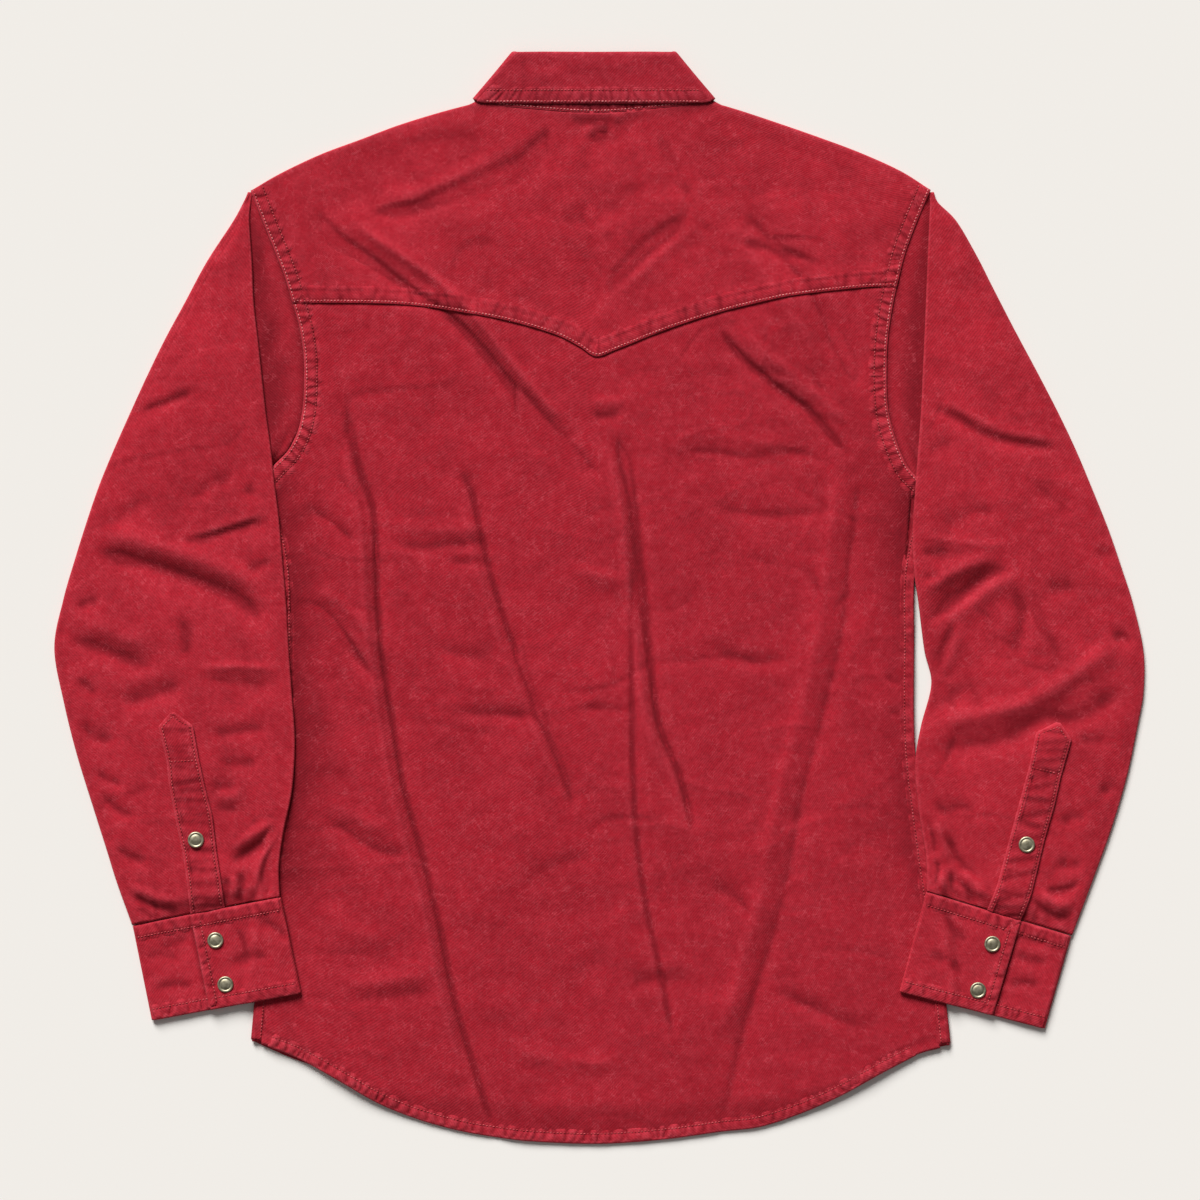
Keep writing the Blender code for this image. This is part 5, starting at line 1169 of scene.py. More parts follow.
def build_placket(name, table, tree, seed, mat):
    """Pointed strip sewn over the sleeve's opening."""
    rows = np.array(table, float)
    left, right = rows[:, :2], rows[:, 2:]
    shares = graded(lengths_of(left)[-1], 14.0, 4.0, 2.0, 1.2)[:, None, None]
    left_line, right_line = (resample(line, shares.ravel())[:, None] for line in (left, right))
    across = graded(25.0, 4.2, 4.2, 1.6, 0.7)[None, :, None]
    plan = left_line * (1 - across) + right_line * across
    x, y = plan_of(plan)
    # the strip follows the sleeve under it, averaged so that it lies smoother
    spots = ((0, 0), (3, 0), (-3, 0), (0, 3), (0, -3))
    carried = np.array([[max(height_on([tree], px + dx, py + dy) for dx, dy in spots)
                         for px, py in zip(xr, yr)] for xr, yr in zip(x[::2, ::3], y[::2, ::3])])
    row_ids, col_ids = np.arange(x.shape[0]), np.arange(x.shape[1])
    part = np.array([np.interp(col_ids, col_ids[::3], line) for line in carried])
    full = np.stack([np.interp(row_ids, row_ids[::2], part[:, c]) for c in col_ids], axis=1)
    d, run = beside(x, y, np.concatenate([left[::-1], right]))
    folds = ripple(run, d, 7.5, seed)
    z = full + 0.30 + BAND / 2
    z = z + 0.55 * smooth(d / 2.2) - 0.35 * bump(d - 2.4, 0.8)
    z = z + 0.35 * (folds - 0.5) * bump(d - 3.0, 4.0)
    z = z + 0.9 * crumple(x, y, seed, 1.2) * smooth(d / 4.0)
    pinched = ticks(y.max() - y, 0.5 * (x - x.mean()), 7.5, seed + 7)
    z = z - 1.2 * (pinched - 0.3) * smooth(d / 3.0)
    bar, _ = beside(x, y, np.array(placket_bar(table)))
    z = z - 0.4 * bump(bar, 1.0)
    z = z + 0.35 * bump(bar - 4.0, 3.0) * (ripple(run, d, 6.0, seed + 3) - 0.3)
    # paler edges from rubbing, and crests paler from rubbing and painted highlight
    wear_and_highlight = unit(1.0 * bump(d, 1.3) + 0.45 * (folds - 0.4) * bump(d - 3.0, 3.0))
    # painted shade in the pinches and in a line beside the stitches
    deep = unit(0.75 * pinched * smooth((d - 1.0) / 2.0) + 0.5 * bump(d - 2.9, 0.9))
    return shell(name, xyz(x, y, z), BAND, mat, wear_and_highlight, deep)


# ---- cuffs
def build_cuff(name, side, corners, seed, mat):
    """Cuff that wraps round flat, its flap edge lying on the end beneath."""
    outer_ends, inner_ends, flap_ends = np.array(corners, float).reshape(3, 2, 2)
    low = BAND / 2
    rise = 2 * CUFF_TURN
    low_count, under_count = 36, 34
    shares = graded(80.0, 9.0, 5.0, 1.9, 1.0)

    def resting(x, y):
        """Middle of the cuff's underside, which climbs onto the body."""
        return low + OVER_RISE * smooth((12.0 - (x - at_y(FLANK[side], y)) * side) / 10.0)

    rows = []
    for v in graded(71.0, 13.0, 12.0, 2.2, 1.0):
        outer, inner, flap = (lerp(*ends, v) for ends in (outer_ends, inner_ends, flap_ends))
        out = (outer - inner) / np.linalg.norm(outer - inner)
        inner = inner + out * (CUFF_TURN + BAND / 2)
        outer = outer - out * (CUFF_TURN + BAND / 2)
        flap_run = np.linalg.norm(flap - inner)
        whole_run = np.linalg.norm(outer - inner)
        climb = abs(at_y(FLANK[side], inner[1]) - inner[0])
        reaches = flap_run * (1 - shares)
        lifted = smooth((reaches - climb - 1.5) / 10.5)
        x, y = (inner + out * reaches[:, None]).T
        # the flap over the lower end, the inner fold, the underside, the outer fold
        # and the lower end beneath the flap
        section = [xyz(x, y, resting(x, y) + (rise + 0.5 + (BAND + 0.9) * lifted))]
        for arc in ARCS[::-1]:
            x, y = inner - out * CUFF_TURN * math.cos(arc)
            section.append([[x, y, resting(*inner) + CUFF_TURN + CUFF_TURN * math.sin(arc)]])
        x, y = (inner + out * np.linspace(0.0, whole_run, low_count)[:, None]).T
        section.append(xyz(x, y, resting(x, y)))
        for arc in ARCS:
            x, y = outer + out * CUFF_TURN * math.cos(arc)
            section.append([[x, y, low + CUFF_TURN + CUFF_TURN * math.sin(arc)]])
        under_end = max(flap_run - CUFF_UNDERLAP, climb + 13.0)
        x, y = (inner + out * np.linspace(whole_run, under_end, under_count)[:, None]).T
        section.append(xyz(x, y, np.full(len(x), low + rise + 0.3)))
        rows.append(np.concatenate(section))
    grid = np.array(rows)
    x, y = plan_of(grid)
    flap_part = np.zeros(grid.shape[:2])
    flap_part[:, :len(shares)] = 1.0
    shown = flap_part.copy()
    shown[:, -under_count:] = 1.0
    z = np.zeros(grid.shape[:2])
    wear_and_highlight = np.zeros(grid.shape[:2])
    for end, band, shift in ((0, 9.0, 0), (1, 8.0, 5)):
        d, run = beside(x, y, np.array([outer_ends[end], inner_ends[end]]))
        folds = ripple(run, d, 6.2, seed + shift)
        across = bump(d - 0.6 * band, 0.62 * band, 2.5)
        z += 0.2 * (folds - 0.5) * across - 0.25 * (1 - smooth(d / 1.4))
        # paler edges from rubbing, and puckers' crests paler from rubbing and painted highlight
        wear_and_highlight = np.maximum(wear_and_highlight, 0.8 * bump(d, 1.2) + 0.5 * (folds - 0.35) * across)
    d, run = beside(x, y, flap_ends)
    folds = ripple(run, d, 7.0, seed + 9)
    shadow = 0.95 * bump(np.maximum(d - 0.8, 0.0), 1.6) * (1.0 - flap_part)
    z += flap_part * (0.2 * (folds - 0.5) * bump(d - 5.0, 5.0) - 0.3 * (1 - smooth(d / 1.2)))
    # painted highlight along the flap's edge, which is also rubbed
    wear_and_highlight = np.maximum(wear_and_highlight, flap_part * (1.0 * bump(d, 1.4) + 0.35 * (folds - 0.4) * bump(d - 4, 4)))
    z += 1.8 * crumple(x, y, seed + 20, 1.0)
    z += creases(x, y, CUFF_CREASES, 0.8)
    grid[..., 2] = np.maximum(grid[..., 2] + z * shown, BAND / 2 + 0.02)
    return shell(name, grid, BAND, mat, unit(wear_and_highlight), shadow, flip=side > 0)


# ---- collar
def collar_stations(step):
    """Close stations from the left front end round the back to the right: their
    sides, neck and fold points, outer points and turns."""
    table = np.array(COLLAR, float)
    fine = []
    for a, b in zip(table, table[1:]):
        reach = max(np.linalg.norm(a[4:6] - b[4:6]), abs(a[6] - b[6]) / 15.0 * step)
        count = max(1, round(reach / step))
        fine += [a + (b - a) * k / count for k in range(count)]
    fine = np.array(fine + [table[-1]])
    left = fine[:0:-1]
    rows = np.concatenate([left, fine])
    sides = np.concatenate([-np.ones(len(left)), np.ones(len(fine))])
    return sides, rows[:, 0:2], rows[:, 2:4], rows[:, 4:6], np.radians(rows[:, 6])


def collar_points(sides, plan, out, z):
    """Points of the collar, moved outward from their plan points."""
    x = NECK_CENTRE + sides * (plan[:, 0] + out * COLLAR_SIDE[0])
    return x, plan[:, 1] + out * COLLAR_SIDE[1], COLLAR_MID + z


def build_stand(mat):
    sides, neck, fold, _, turn = collar_stations(3.0)
    tall = np.linalg.norm(fold - neck, axis=1)
    grid = []
    # from just above the neck seam to just below the fold
    for share in span(12):
        plan = neck + (fold - neck) * (0.35 / tall + (1.0 - 2.2 / tall) * share)[:, None]
        grid.append(xyz(*collar_points(sides, plan, STAND_TURN * np.cos(turn), STAND_TURN * np.sin(turn))))
    item = shell("collar_stand_band", np.array(grid), BAND, mat)
    return register(item, ["collar_stand"])


def build_neck_band(mat, yoke_tree):
    """The stand's lower edge, sewn flat onto the yoke and seen below the fall."""
    first, last, rows = -78.0, 71.0, 14
    hidden = 369.5  # the fall covers all above this y
    xs = np.linspace(first, last, 150)
    low = at_x(NECK_BACK, xs) - 1.6
    level = np.array([height_on([yoke_tree], x, y - 1.5) for x, y in zip(xs, low)])
    level = np.convolve(np.pad(level, 4, mode="edge"), np.ones(9) / 9.0, mode="valid")
    high = np.maximum(low + 4.0, hidden)
    share = 1.0 - (np.arange(rows) / (rows - 1))[:, None]
    y = low * (1 - share) + high * share
    x = xs + 0.0 * y
    d = y - low
    cut = ticks(x - first, d, 5.6, 88)
    z = level - 0.15 + (0.3 * smooth(d / 1.2) - 0.8 * (cut - 0.4) * smooth(d / 1.5))
    z = z + (0.05 * (d - 2.0) - 0.3 * bump(d - 2.2, 0.7))
    z = z - 0.8 * (1 - smooth(np.minimum(xs - first, last - xs) / 10.0))
    # paler cushions between the cuts, partly rubbed and partly painted highlight
    wear_and_highlight = unit(0.7 * bump(d, 0.9) + 0.2 * (1 - cut))
    # painted shade in the cuts and on the part that goes under the fall
    deep = np.maximum(0.8 * cut, smooth((d - 2.6) / 1.6))
    item = shell("collar_neck_edge", xyz(x, y, z), STRIP_THICK, mat, wear_and_highlight, deep, flip=True)
    return register(item)


def within_fall(x, y):
    """Points of a band drawn in between the slanted sides of the fall."""
    half_at_fold, slant, half_at_edge = 59.4, 0.80, 89.4
    share = (half_at_fold + (COLLAR_TOP - y) * slant) / half_at_edge
    return NECK_CENTRE + (x - NECK_CENTRE) * share


def build_fall(mat):
    sides, _, fold, outer, turn = collar_stations(2.0)
    length = np.linalg.norm(outer - fold, axis=1)
    # share of the way from the fold to the edge, and share of the turn's growth
    profile = [(0.0, 0.0), (0.0, 0.2), (0.0, 0.4), (0.0, 0.6), (0.0, 0.8), (0.012, 0.94)]
    profile += [(s, 1.0) for s in graded(40.0, 2.0, 13.0, 2.2, 1.0)[2:]]
    grid = []
    for share, rise in profile:
        plan = fold + (outer - fold) * share
        radius = STAND_TURN + (FALL_TURN - STAND_TURN) * rise
        x, y, z = collar_points(sides, plan, radius * np.cos(turn), radius * np.sin(turn))
        y = np.minimum(y, COLLAR_TOP)
        wider = 1.0 + 0.036 * unit((403.0 - y) / 37.0)
        grid.append(xyz(NECK_CENTRE + (x - NECK_CENTRE) * wider, y, z))
    grid = np.array(grid)
    x, y = plan_of(grid)
    share = np.array([p[0] for p in profile])[:, None] + np.zeros((1, grid.shape[1]))
    up = unit(np.sin(turn))[None, :] * smooth(share / 0.06)
    edge = (1.0 - share) * length[None, :]
    folds = ripple(x, edge, 6.3, 91)
    across = bump(edge - 0.55 * COLLAR_BAND, 0.6 * COLLAR_BAND, 2.5)
    z = 0.2 * (folds - 0.45) * across - 0.25 * (1 - smooth(edge / 1.2))
    z += 0.75 * crumple(x, y, 93, 1.5) * smooth(edge / 5.0)
    z += 0.5 * noise(x, y * 3.0, 26.0, 95) * bump(edge - 22.0, 14.0)
    grid[..., 2] += z * up
    # paler at the edge and fold from rubbing, and on the puckers' crests from rubbing and painted highlight
    wear_and_highlight = 0.85 * bump(edge, 1.3) + 0.5 * (folds - 0.35) * across * (up > 0)
    wear_and_highlight = unit(np.maximum(wear_and_highlight, 0.55 * bump(share, 0.05)))
    item = shell("collar_fall_leaf", grid, BAND, mat, wear_and_highlight)
    return register(item, ["collar_fall"])


# ---- front placket and snaps
def build_front_placket(mat):
    """Band over the front opening, with a shallow seat pressed in by each snap."""
    ys = np.linspace(PLACKET_TOP, float(at_x(HEM_FRONT, 0.0)), 240)
    x, y = np.meshgrid(np.linspace(-PLACKET_HALF, PLACKET_HALF, 15), ys)
    edge = PLACKET_HALF - np.abs(x)
    z = 0.42 + 0.1 * bump(edge - 6.0, 1.0)
    for centre in FRONT_SNAPS:
        away = np.hypot(x, y - centre)
        z += 0.72 * (1.0 - smooth((away - SNAP_RADIUS - 0.2) / 2.5))
    item = shell("front_placket_band", xyz(x, y, z), PLACKET_SHEET, mat, 0.8 * bump(edge, 1.2))
    return register(item, ["front_placket"])


def build_snap(name, x, y, base, profile, sides, mat, down=False):
    """Turned disc; the profile runs as (radius, height) from the rim inward."""
    angles = np.linspace(0.0, 2 * np.pi, sides, endpoint=False)
    points = [(x + radius * math.cos(a), y + radius * math.sin(a), base - height if down else base + height)
              for radius, height in profile for a in angles]
    around = [(k, (k + 1) % sides) for k in range(sides)]
    last = (len(profile) - 1) * sides
    faces = [(r + k, r + n, r + sides + n, r + sides + k)
             for r in range(0, last, sides) for k, n in around]
    caps = [range(sides)[::-1], range(last, last + sides)]
    item = make_mesh(f"{name}_cap", points, [faces, caps], mat)
    if down:
        item.data.flip_normals()
    register(item, [name])


def build_snaps(mat, trees):
    for name, x, y in SNAPS:
        # it sits at the middle one of the cloth's heights under its rim
        spots = [(x, y)] + [(x + 5.5 * math.cos(a), y + 5.5 * math.sin(a))
                            for a in np.linspace(0, 2 * math.pi, 12, endpoint=False)]
        seat = sorted(height_on(trees, px, py) for px, py in spots)[len(spots) // 2] + 0.02
        build_snap(name, x, y, seat - 0.15, SNAP_PROFILE, 48, mat)
    for k, y in enumerate(FRONT_SNAPS):
        build_snap(f"front_snap_{k + 1}", 0.0, y, FRONT_SNAP_Z, FLAT_SNAP_PROFILE, 32, mat, down=True)


# ---- sewn edges, with the puckers that their stitches draw in
def leftward(ways):
    """Unit vectors to the left of the ways along a line."""
    ways = ways / np.linalg.norm(ways, axis=1, keepdims=True)
    return np.stack([-ways[:, 1], ways[:, 0]], axis=1)


def offset_line(path, distance):
    """Path moved to its left side by a distance."""
    line = spline(path, 3.0)
    return line + leftward(np.gradient(line, axis=0)) * distance


def seam_strip(name, path, width, trees, seed, mat, side=1.0, pucker=1.0, pitch=5.6, rise=0.4,
               beyond=4.0, edge_row=False, groove=1.0, squeeze=None, paling=1.0, step=1.0):
    """The doubled cloth beside a seam, raised over what carries it, pinched by
    its stitches and sunk into the cloth where it ends."""
    line = spline(path, 0.9)
    count = int(lengths_of(line)[-1] / step) + 1
    line = resample(line, span(count))
    ways = np.gradient(line, axis=0)
    for _ in range(3):
        ways[1:-1] = (ways[:-2] + ways[1:-1] * 2 + ways[2:]) / 4
    inward = leftward(ways) * side
    d = np.concatenate([[-0.25, 0.2], np.arange(0.9, width + beyond + 0.5, 0.95)])
    plan = line[:, None] + inward[:, None] * d[None, :, None]
    x, y = plan_of(plan)
    if squeeze is not None:
        x = squeeze(x, y)
    carried = np.array([[height_on(trees, px, py) for px, py in zip(xr, yr)] for xr, yr in zip(x, y)])
    # where nothing carries the strip it keeps the height further in
    for c in range(len(d) - 2, 1, -1):
        carried[:, c] = np.where(carried[:, c] < 0.05, carried[:, c + 1], carried[:, c])
    carried[:, 0] = carried[:, 1] = carried[:, 2]
    run = np.arange(count)[:, None] * step + np.zeros((1, len(d)))
    across = d[None, :] + np.zeros(run.shape)
    cut = ticks(run, across, pitch, seed)
    inside = smooth((across - 0.4) / 1.6) * (1.0 - smooth((across - width - 1.0) / beyond))
    strong = 0.6 + 0.5 * noise(run, 0 * run, 33.0, seed + 1)
    z = rise * smooth((across + 0.25) / 1.6) * (1.0 - smooth((across - width + 0.2) / 1.6))
    z = z + 0.35 * noise(run, across * 0.5, 5.0, seed + 2) * inside
    z = z - pucker * (cut - 0.35) * inside * strong
    z = z - 0.5 * groove * bump(across - width, 0.85)
    if edge_row:
        z = z - 0.22 * bump(across - EDGE_ROW, 0.6)
    floor = -(STRIP_THICK / 2 + 0.5) * smooth((across - width - 0.4) / (0.8 * beyond)) + 0.12
    z = carried + np.maximum(z, -0.9) + floor
    z[:, 0] = carried[:, 0] - 0.35
    ends = np.minimum(np.arange(count), np.arange(count)[::-1])
    z = z - 0.4 * (1.0 - smooth(ends / 2.0))[:, None]
    z = np.maximum(z, STRIP_THICK / 2 + 0.02)
    # paler at the edge from rubbing, and on the cushions from rubbing and painted highlight
    wear_and_highlight = 0.85 * bump(across - 0.3, 0.9) + 0.5 * inside * (1.0 - cut) ** 2 * strong
    wear_and_highlight = wear_and_highlight * paling * (0.75 + 0.5 * noise(run, across, 7.0, seed + 3))
    # painted shade in the cuts that the stitches pull in and in the groove
    deep = 0.95 * cut * inside + 0.7 * groove * bump(across - width, 0.9)
    item = shell(name, xyz(x, y, z), STRIP_THICK, mat, unit(wear_and_highlight), unit(deep), flip=side < 0)
    return register(item)


# share of the stitch's length, lift and share of the thread's radius
STITCH_SPINE = ((-0.06, -0.30, 0.3), (0.12, 0.02, 0.85), (0.5, 0.12, 1.0), (0.88, 0.02, 0.85),
    (1.06, -0.30, 0.3))


def stitch_row(path, trees, store, seed):
    """Adds a row of stitches along a plan path, each a thin capsule whose
    ends dive into the cloth."""
    line = spline(path, 1.0) if len(path) > 2 else resample(path, span(60))
    total = lengths_of(line)[-1]
    rng = np.random.default_rng(seed)
    around = [(s, (s + 1) % STITCH_SIDES) for s in range(STITCH_SIDES)]
    for k in range(int(total / STITCH)):
        start = (k * STITCH + GAP / 2) / total
        end = ((k + 1) * STITCH - GAP / 2) / total
        marks = resample(line, [start, (start + end) / 2, end])
        way = marks[2] - marks[0]
        size = np.linalg.norm(way)
        if size < 0.5:
            continue
        across = np.array([-way[1], way[0]]) / size
        marks = marks + across * rng.uniform(-0.12, 0.12)
        levels = [height_on(trees, px, py) for px, py in marks]
        if min(levels) < 0.3:
            continue
        middle = max(levels[1], (levels[0] + levels[2]) / 2)
        first = len(store["points"])
        for share, lift, radius in STITCH_SPINE:
            px, py = marks[0] + (marks[2] - marks[0]) * share
            level = levels[0] * (1 - share) + levels[2] * share
            if share == 0.5:
                level = max(level, middle - 0.1)
            for s in range(STITCH_SIDES):
                angle = 2 * math.pi * s / STITCH_SIDES
                shift = across * math.cos(angle) * (radius * THREAD) * 1.25
                store["points"].append((px + shift[0], py + shift[1],
                                        level + lift + THREAD * 0.55 + math.sin(angle) * (radius * THREAD)))
        last = len(store["points"]) - STITCH_SIDES
        for a in range(first, last, STITCH_SIDES):
            b = a + STITCH_SIDES
            store["faces"] += [(a + s, b + s, b + n, a + n) for s, n in around]
        store["faces"].append(tuple(range(first, first + STITCH_SIDES)))
        store["faces"].append(tuple(range(last, last + STITCH_SIDES))[::-1])


# ---- materials
def node(tree, kind, inputs=(), **values):
    """Shader node with values set on it and on its inputs; an input's value is
    a number, a colour or another node's output."""
    item = tree.nodes.new(kind)
    for key, value in values.items():
        setattr(item, key, value)
    for key, value in dict(inputs).items():
        if isinstance(value, bpy.types.NodeSocket):
            tree.links.new(value, item.inputs[key])
        else:
            item.inputs[key].default_value = value
    return item


def new_material(name, inputs):
    """Material with values on its shader's own inputs."""
    mat = bpy.data.materials.new(name)
    mat.use_nodes = True
    shader = mat.node_tree.nodes["Principled BSDF"]
    for key, value in inputs.items():
        shader.inputs[key].default_value = value
    return mat, mat.node_tree, shader


def cotton(name, base):
    """Garment-dyed twill: uneven dye, pale fibres, rubbed edges and fine ribs, with painted highlights on
    ridges and crests and painted shade in valleys, cuts and shaded places.
    """
    mat, tree, shader = new_material(name, {
        "Roughness": 0.92, "Sheen Weight": 0.09, "Sheen Roughness": 0.5,
        "Sheen Tint": (1.0, 0.45, 0.48, 1.0), "Specular IOR Level": 0.10})
    place = node(tree, "ShaderNodeTexCoord").outputs["Object"]
    weave_at, paling, painted_shade = (node(tree, "ShaderNodeAttribute", attribute_name=key)
                              for key in ("cloth", "wear_and_highlight", "deep"))

    def noise_at(scale, detail, rough=0.55):
        return node(tree, "ShaderNodeTexNoise", {"Scale": scale, "Detail": detail, "Roughness": rough,
                                                 "Vector": place}).outputs["Fac"]

    def mapped(value, low, high, to_low, to_high):
        return node(tree, "ShaderNodeMapRange", {"Value": value, "From Min": low, "From Max": high,
                                                 "To Min": to_low, "To Max": to_high}).outputs["Result"]

    def maths(operation, a, b):
        return node(tree, "ShaderNodeMath", {0: a, 1: b}, operation=operation).outputs["Value"]

    def total(parts):
        """Sum of outputs, each times its share."""
        result = maths("MULTIPLY", *parts[0])
        for value, share in parts[1:]:
            result = maths("ADD", result, maths("MULTIPLY", value, share))
        return result

    def bands(direction, scale, distortion, detail, detail_scale):
        return node(tree, "ShaderNodeTexWave",
                    {"Scale": scale, "Distortion": distortion, "Detail": detail,
                     "Detail Scale": detail_scale, "Vector": weave_at.outputs["Vector"]},
                    wave_type="BANDS", bands_direction=direction, wave_profile="SIN").outputs["Fac"]

    def fibre_layer(scale, width, mask_scale):
        """Short curved fibres: level lines of a noise, cut up by another one."""
        level = maths("ABSOLUTE", maths("SUBTRACT", noise_at(scale, 1.0), 0.5), 0.0)
        mask = mapped(noise_at(mask_scale, 1.0), 0.52, 0.60, 0.0, 1.0)
        return maths("MULTIPLY", mapped(level, 0.0, width, 1.0, 0.0), mask)

    def mix(amount, first, second):
        return node(tree, "ShaderNodeMix", {"Factor": amount, 6: first, 7: second},
                    data_type="RGBA").outputs[2]

    broad = mapped(noise_at(9.0, 3.0), 0.3, 0.7, -1.0, 1.0)
    patchy = mapped(noise_at(55.0, 4.0), 0.3, 0.7, -1.0, 1.0)
    fleck = mapped(noise_at(420.0, 3.0, 0.7), 0.3, 0.7, -1.0, 1.0)
    grain = mapped(noise_at(1100.0, 2.0), 0.25, 0.75, -1.0, 1.0)
    ribs = mapped(bands("DIAGONAL", 270.0, 2.4, 2.0, 0.8), 0.0, 1.0, -1.0, 1.0)
    tone = total([(broad, 0.05), (patchy, 0.07), (fleck, 0.13), (grain, 0.09), (ribs, 0.07)])
    tone = maths("ADD", tone, 1.0)
    fibres = maths("MAXIMUM", fibre_layer(120.0, 0.020, 95.0), fibre_layer(190.0, 0.028, 110.0))
    wear_and_highlight = maths("MULTIPLY", paling.outputs["Fac"],
                 mapped(noise_at(300.0, 4.0, 0.7), 0.35, 0.65, 0.35, 1.15))
    red, green, blue = base
    dyed = (red, green, blue, 1.0)
    pale = (red * 1.3 + 0.04, green * 2.1 + 0.028, blue * 1.8 + 0.034, 1.0)
    light = (red * 1.5 + 0.08, green * 3.0 + 0.07, blue * 2.4 + 0.08, 1.0)
    # dark colour, used both for random dye patches and for the painted shade
    deep = (red * 0.44, green * 0.42, blue * 0.46, 1.0)
    colour = mix(mapped(noise_at(26.0, 5.0), 0.32, 0.62, 0.0, 0.2), dyed, deep)
    colour = mix(mapped(noise_at(150.0, 6.0, 0.8), 0.42, 0.70, 0.0, 0.32), colour, pale)
    # painted shade: valleys, stitch cuts and places beside and under other parts
    colour = mix(maths("MULTIPLY", painted_shade.outputs["Fac"], 0.8), colour, deep)
    # paler where rubbed, and painted highlight on ridges and crests
    colour = mix(maths("MULTIPLY", wear_and_highlight, 0.62), colour, pale)
    colour = mix(maths("MULTIPLY", fibres, 0.22), colour, light)
    toned = node(tree, "ShaderNodeVectorMath", {0: colour, "Scale": tone}, operation="SCALE")
    tree.links.new(toned.outputs["Vector"], shader.inputs["Base Color"])

    weave = maths("MULTIPLY", *(bands(way, 480.0, 0.6, 1.0, 0.4) for way in ("X", "Y")))
    height = total([(weave, 0.4), (ribs, 0.35), (fleck, 0.35), (patchy, 0.5)])
    relief = node(tree, "ShaderNodeBump", {"Strength": 0.35, "Distance": 0.00035, "Height": height})
    tree.links.new(relief.outputs["Normal"], shader.inputs["Normal"])
    return mat


def spotted(tree, shader, scale, detail, dark, light):
    """Base colour between two colours, each with its place on a noise."""
    place = node(tree, "ShaderNodeTexCoord").outputs["Object"]
    spots = node(tree, "ShaderNodeTexNoise", {"Scale": scale, "Detail": detail, "Vector": place})
    ramp = node(tree, "ShaderNodeValToRGB", {"Fac": spots.outputs["Fac"]})
    for element, (position, colour) in zip(ramp.color_ramp.elements, (dark, light)):
        element.position = position
        element.color = (*colour, 1.0)
    tree.links.new(ramp.outputs["Color"], shader.inputs["Base Color"])
    return spots.outputs["Fac"]


def thread_material(name, dark, light):
    mat, tree, shader = new_material(name, {"Roughness": 0.8, "Specular IOR Level": 0.1})
    spotted(tree, shader, 160.0, 3.0, (0.35, dark), (0.68, light))
    return mat


def snap_material():
    """Aged pale brass with dull patches."""
    mat, tree, shader = new_material("aged_brass", {"Metallic": 1.0})
    spots = spotted(tree, shader, 350.0, 6.0, (0.3, (0.28, 0.25, 0.165)), (0.7, (0.55, 0.51, 0.38)))
    dull = node(tree, "ShaderNodeMapRange", {"Value": spots, "To Min": 0.40, "To Max": 0.60})
    tree.links.new(dull.outputs["Result"], shader.inputs["Roughness"])
    relief = node(tree, "ShaderNodeBump", {"Strength": 0.15, "Distance": 0.0002, "Height": spots})
    tree.links.new(relief.outputs["Normal"], shader.inputs["Normal"])
    return mat


# ---- floor, light and camera
def build_stage():
    reach, level = 6.0, -0.0003
    mesh = bpy.data.meshes.new("floor")
    mesh.from_pydata([(-reach, -reach, level), (reach, -reach, level), (reach, reach, level),
                      (-reach, reach, level)], [], [(0, 1, 2, 3)])
    mat, _, _ = new_material("floor_paper", {"Base Color": (0.885, 0.862, 0.833, 1.0),
                                             "Roughness": 0.95, "Specular IOR Level": 0.1})
    mesh.materials.append(mat)
    link_object("floor", mesh)


def build_light():
    bpy.context.scene.view_settings.view_transform = "Standard"
    world = bpy.data.worlds.new("studio")
    world.use_nodes = True
    sky = world.node_tree.nodes["Background"]
    sky.inputs["Color"].default_value = (1.0, 0.985, 0.965, 1.0)
    sky.inputs["Strength"].default_value = 0.17
    bpy.context.scene.world = world
    lamp = bpy.data.lights.new("key", "SUN")
    lamp.energy = KEY_STRENGTH
    lamp.angle = math.radians(KEY_ANGLE)
    lamp.color = (1.0, 0.99, 0.97)
    item = link_object("key", lamp)
    item.location = KEY_FROM
    item.rotation_euler = (-Vector(KEY_FROM)).to_track_quat("-Z", "Y").to_euler()


def build_camera():
    lens = bpy.data.cameras.new("camera")
    lens.sensor_width = 36.0
    lens.lens = 36.0 * CAMERA_HEIGHT / FRAME_WIDTH
    item = link_object("camera", lens)
    item.location = (*AIM, CAMERA_HEIGHT)
    bpy.context.scene.camera = item


# ---- the whole shirt
ARMS = (("left", -1, SLEEVE_LEFT, LEFT_CREASES, PLACKET_LEFT, CUFF_LEFT, 101),
    ("right", 1, SLEEVE_RIGHT, RIGHT_CREASES, PLACKET_RIGHT, CUFF_RIGHT, 151))


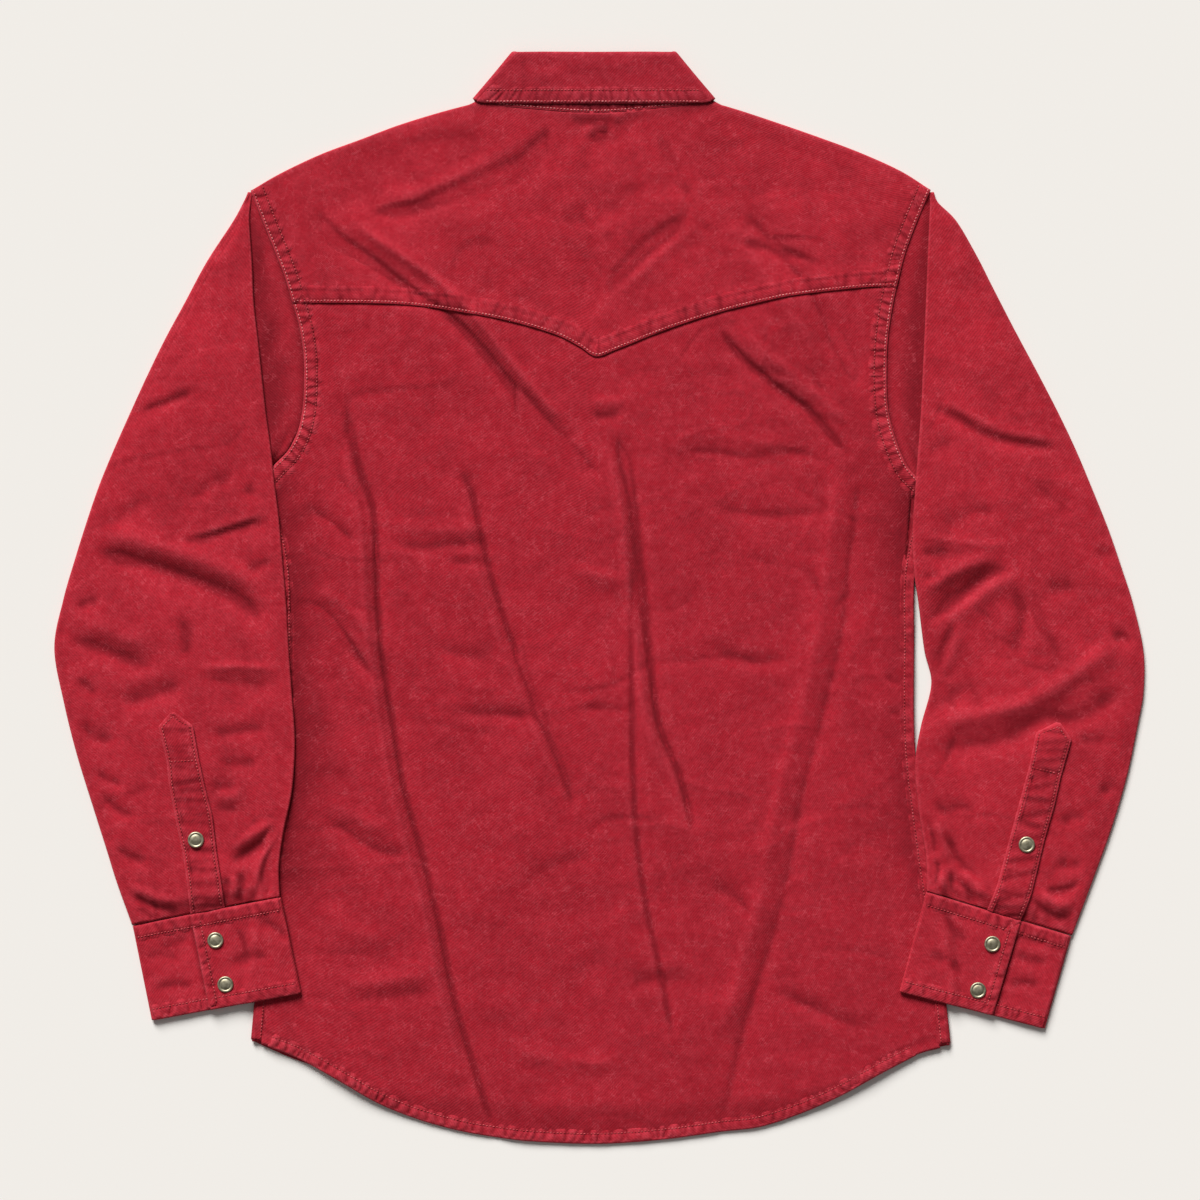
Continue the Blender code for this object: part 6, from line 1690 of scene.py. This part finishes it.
def build_arm(name, side, rows, folds, strip, corners, seed, red, stitches, carriers):
    """Sleeve, gusset, placket strip and cuff with its sewn edges."""
    sleeve = build_sleeve(f"sleeve_{name}_tube", side, rows, folds, seed, red)
    register(sleeve, [f"sleeve_{name}"])
    gusset = register(build_gusset(f"sleeve_{name}_gusset", side, rows, seed + 3, red))
    placket = build_placket(f"sleeve_placket_{name}_strip", strip, tree_of(sleeve), seed + 5, red)
    register(placket, [f"sleeve_placket_{name}"])
    cuff = build_cuff(f"cuff_{name}_band", side, corners, seed + 7, red)
    register(cuff, [f"cuff_{name}"])
    cuff_tree, placket_tree = tree_of(cuff), tree_of(placket)
    carriers += [cuff_tree, placket_tree]
    corners = np.array(corners)
    middle = (corners[2] + corners[3]) / 2
    edges = []
    for place, first, last, band in (("top", 0, 2, 9.0), ("bottom", 1, 3, 8.0), ("flap", 4, 5, 6.0)):
        a, b = corners[first], corners[last]
        along = (b - a) / np.linalg.norm(b - a)
        turn = 1.0 if np.dot(middle - a, (-along[1], along[0])) > 0 else -1.0
        path = [a + along * 1.6, (a + b) / 2, b - along * 1.6]
        edge = seam_strip(f"cuff_{name}_{place}_edge", path, band, [cuff_tree], seed + 10 + first, red,
                          turn, pucker=2.0, pitch=6.0, rise=0.3, beyond=5.0)
        edges.append(edge)
        stitch_row(offset_line(path, turn * band), [tree_of(edge)], stitches, seed + first)
    lines = np.array(strip).reshape(-1, 2, 2)
    tip = lines[0].mean(axis=0) - (0.0, 2.8)
    insets = (2.4, -2.4)
    for k, inset in enumerate(insets):
        stitch_row(lines[1:, k] + (inset, 0.0), [placket_tree], stitches, seed + 2)
    for k, inset in enumerate(insets):
        stitch_row([tip, lines[1, k] + (inset, -0.8)], [placket_tree], stitches, seed + 3)
    stitch_row(placket_bar(strip), [placket_tree], stitches, seed + 4)
    return sleeve, gusset, placket, cuff, edges


def main():
    build_camera()
    build_stage()
    build_light()
    red = cotton("red_canvas", (0.412, 0.0150, 0.0287))
    collar_red = cotton("red_canvas_collar", (0.375, 0.0146, 0.0280))
    brass = snap_material()
    thread = thread_material("sewing_thread", (0.34, 0.028, 0.036), (0.58, 0.105, 0.12))
    worn_thread = thread_material("sewing_thread_worn", (0.52, 0.085, 0.10), (0.80, 0.27, 0.28))

    back = build_back(cotton("red_canvas_back", (0.388, 0.0134, 0.0265)))
    yoke = build_yoke(red)
    front_left = build_front("front_left", -1, left_front_height, red)
    front_right = build_front("front_right", 1, right_front_height, red)
    placket = build_front_placket(red)
    stand = build_stand(collar_red)
    fall = build_fall(collar_red)
    stitches = {"points": [], "faces": []}
    worn_stitches = {"points": [], "faces": []}
    carriers = []  # what the snaps sit on
    arms = [build_arm(*arm, red, stitches, carriers) for arm in ARMS]

    back_tree, yoke_tree = tree_of(back), tree_of(yoke)
    yoke_edge = seam_strip("yoke_edge", YOKE_SEAM, YOKE_BAND + 1.0, [yoke_tree], 41, red, pucker=0.5,
                           pitch=8.5, rise=0.0, beyond=6.0, edge_row=True, groove=0.0, paling=0.6)
    stitch_row(offset_line(YOKE_SEAM, 1.5), [tree_of(yoke_edge)], worn_stitches, 5)
    for name, side in (("left", -1), ("right", 1)):
        strip = seam_strip(f"armhole_edge_{name}", ARMHOLE[side], ARM_BAND, [back_tree, yoke_tree],
                           21 - side, red, -side, pucker=2.3, beyond=7.0, edge_row=True, paling=1.4)
        stitch_row(offset_line(ARMHOLE[side], -side * ARM_BAND), [tree_of(strip)], stitches, 6)
        stitch_row(offset_line(ARMHOLE[side], -side * EDGE_ROW), [tree_of(strip)], worn_stitches, 7)
    for name, side, front in (("left", -1, front_left), ("right", 1, front_right)):
        path = [(x + side * 0.2, y) for x, y in FLANK[side]]
        path[-1] = (path[-1][0], path[-1][1] + 1.5)
        strip = seam_strip(f"side_edge_{name}", path, SIDE_BAND, [tree_of(front), back_tree], 61 + side,
                           red, -side, pucker=0.6, pitch=8.5, rise=0.1, beyond=3.0, paling=0.35, step=1.6)
        stitch_row(offset_line(path, -side * 6.6), [tree_of(strip)], stitches, 11)
    hem = [p for p in HEM_BACK if -247.0 < p[0] < 250.0]
    strip = seam_strip("hem_edge", hem, HEM_BAND, [back_tree], 31, red, pucker=2.2, pitch=6.4,
                       rise=0.35, beyond=3.5, paling=1.6)
    stitch_row(offset_line(hem, HEM_BAND), [tree_of(strip)], stitches, 7)
    neck_edge = build_neck_band(collar_red, yoke_tree)
    neck_line = [(x, float(at_x(NECK_BACK, x)) + 0.5) for x in np.linspace(-74.0, 67.0, 22)]
    stitch_row(neck_line, [tree_of(neck_edge), yoke_tree], worn_stitches, 8)
    lower = [(NECK_CENTRE + x, y) for x, y in ((-87.4, 366.2), (-72.5, 365.0), (0.0, 364.7),
                                               (72.5, 365.0), (87.4, 366.2))]
    collar_edge = seam_strip("collar_edge", lower, COLLAR_BAND, [tree_of(fall)], 57, collar_red,
                             pucker=2.0, pitch=6.4, rise=0.2, beyond=4.5, squeeze=within_fall, paling=1.8)
    row = [(NECK_CENTRE + x * 0.9, 365.0) for x in (-88.8, -44.0, 0.0, 44.0, 88.8)]
    stitch_row(offset_line(row, COLLAR_BAND), [tree_of(collar_edge)], stitches, 9)
    stitch_row(offset_line(row, 1.0), [tree_of(collar_edge)], worn_stitches, 10)
    for name, store, mat in (("topstitching", stitches, thread),
                             ("topstitching_worn", worn_stitches, worn_thread)):
        register(make_mesh(name, store["points"], [store["faces"]], mat))
    build_snaps(brass, carriers)


main()
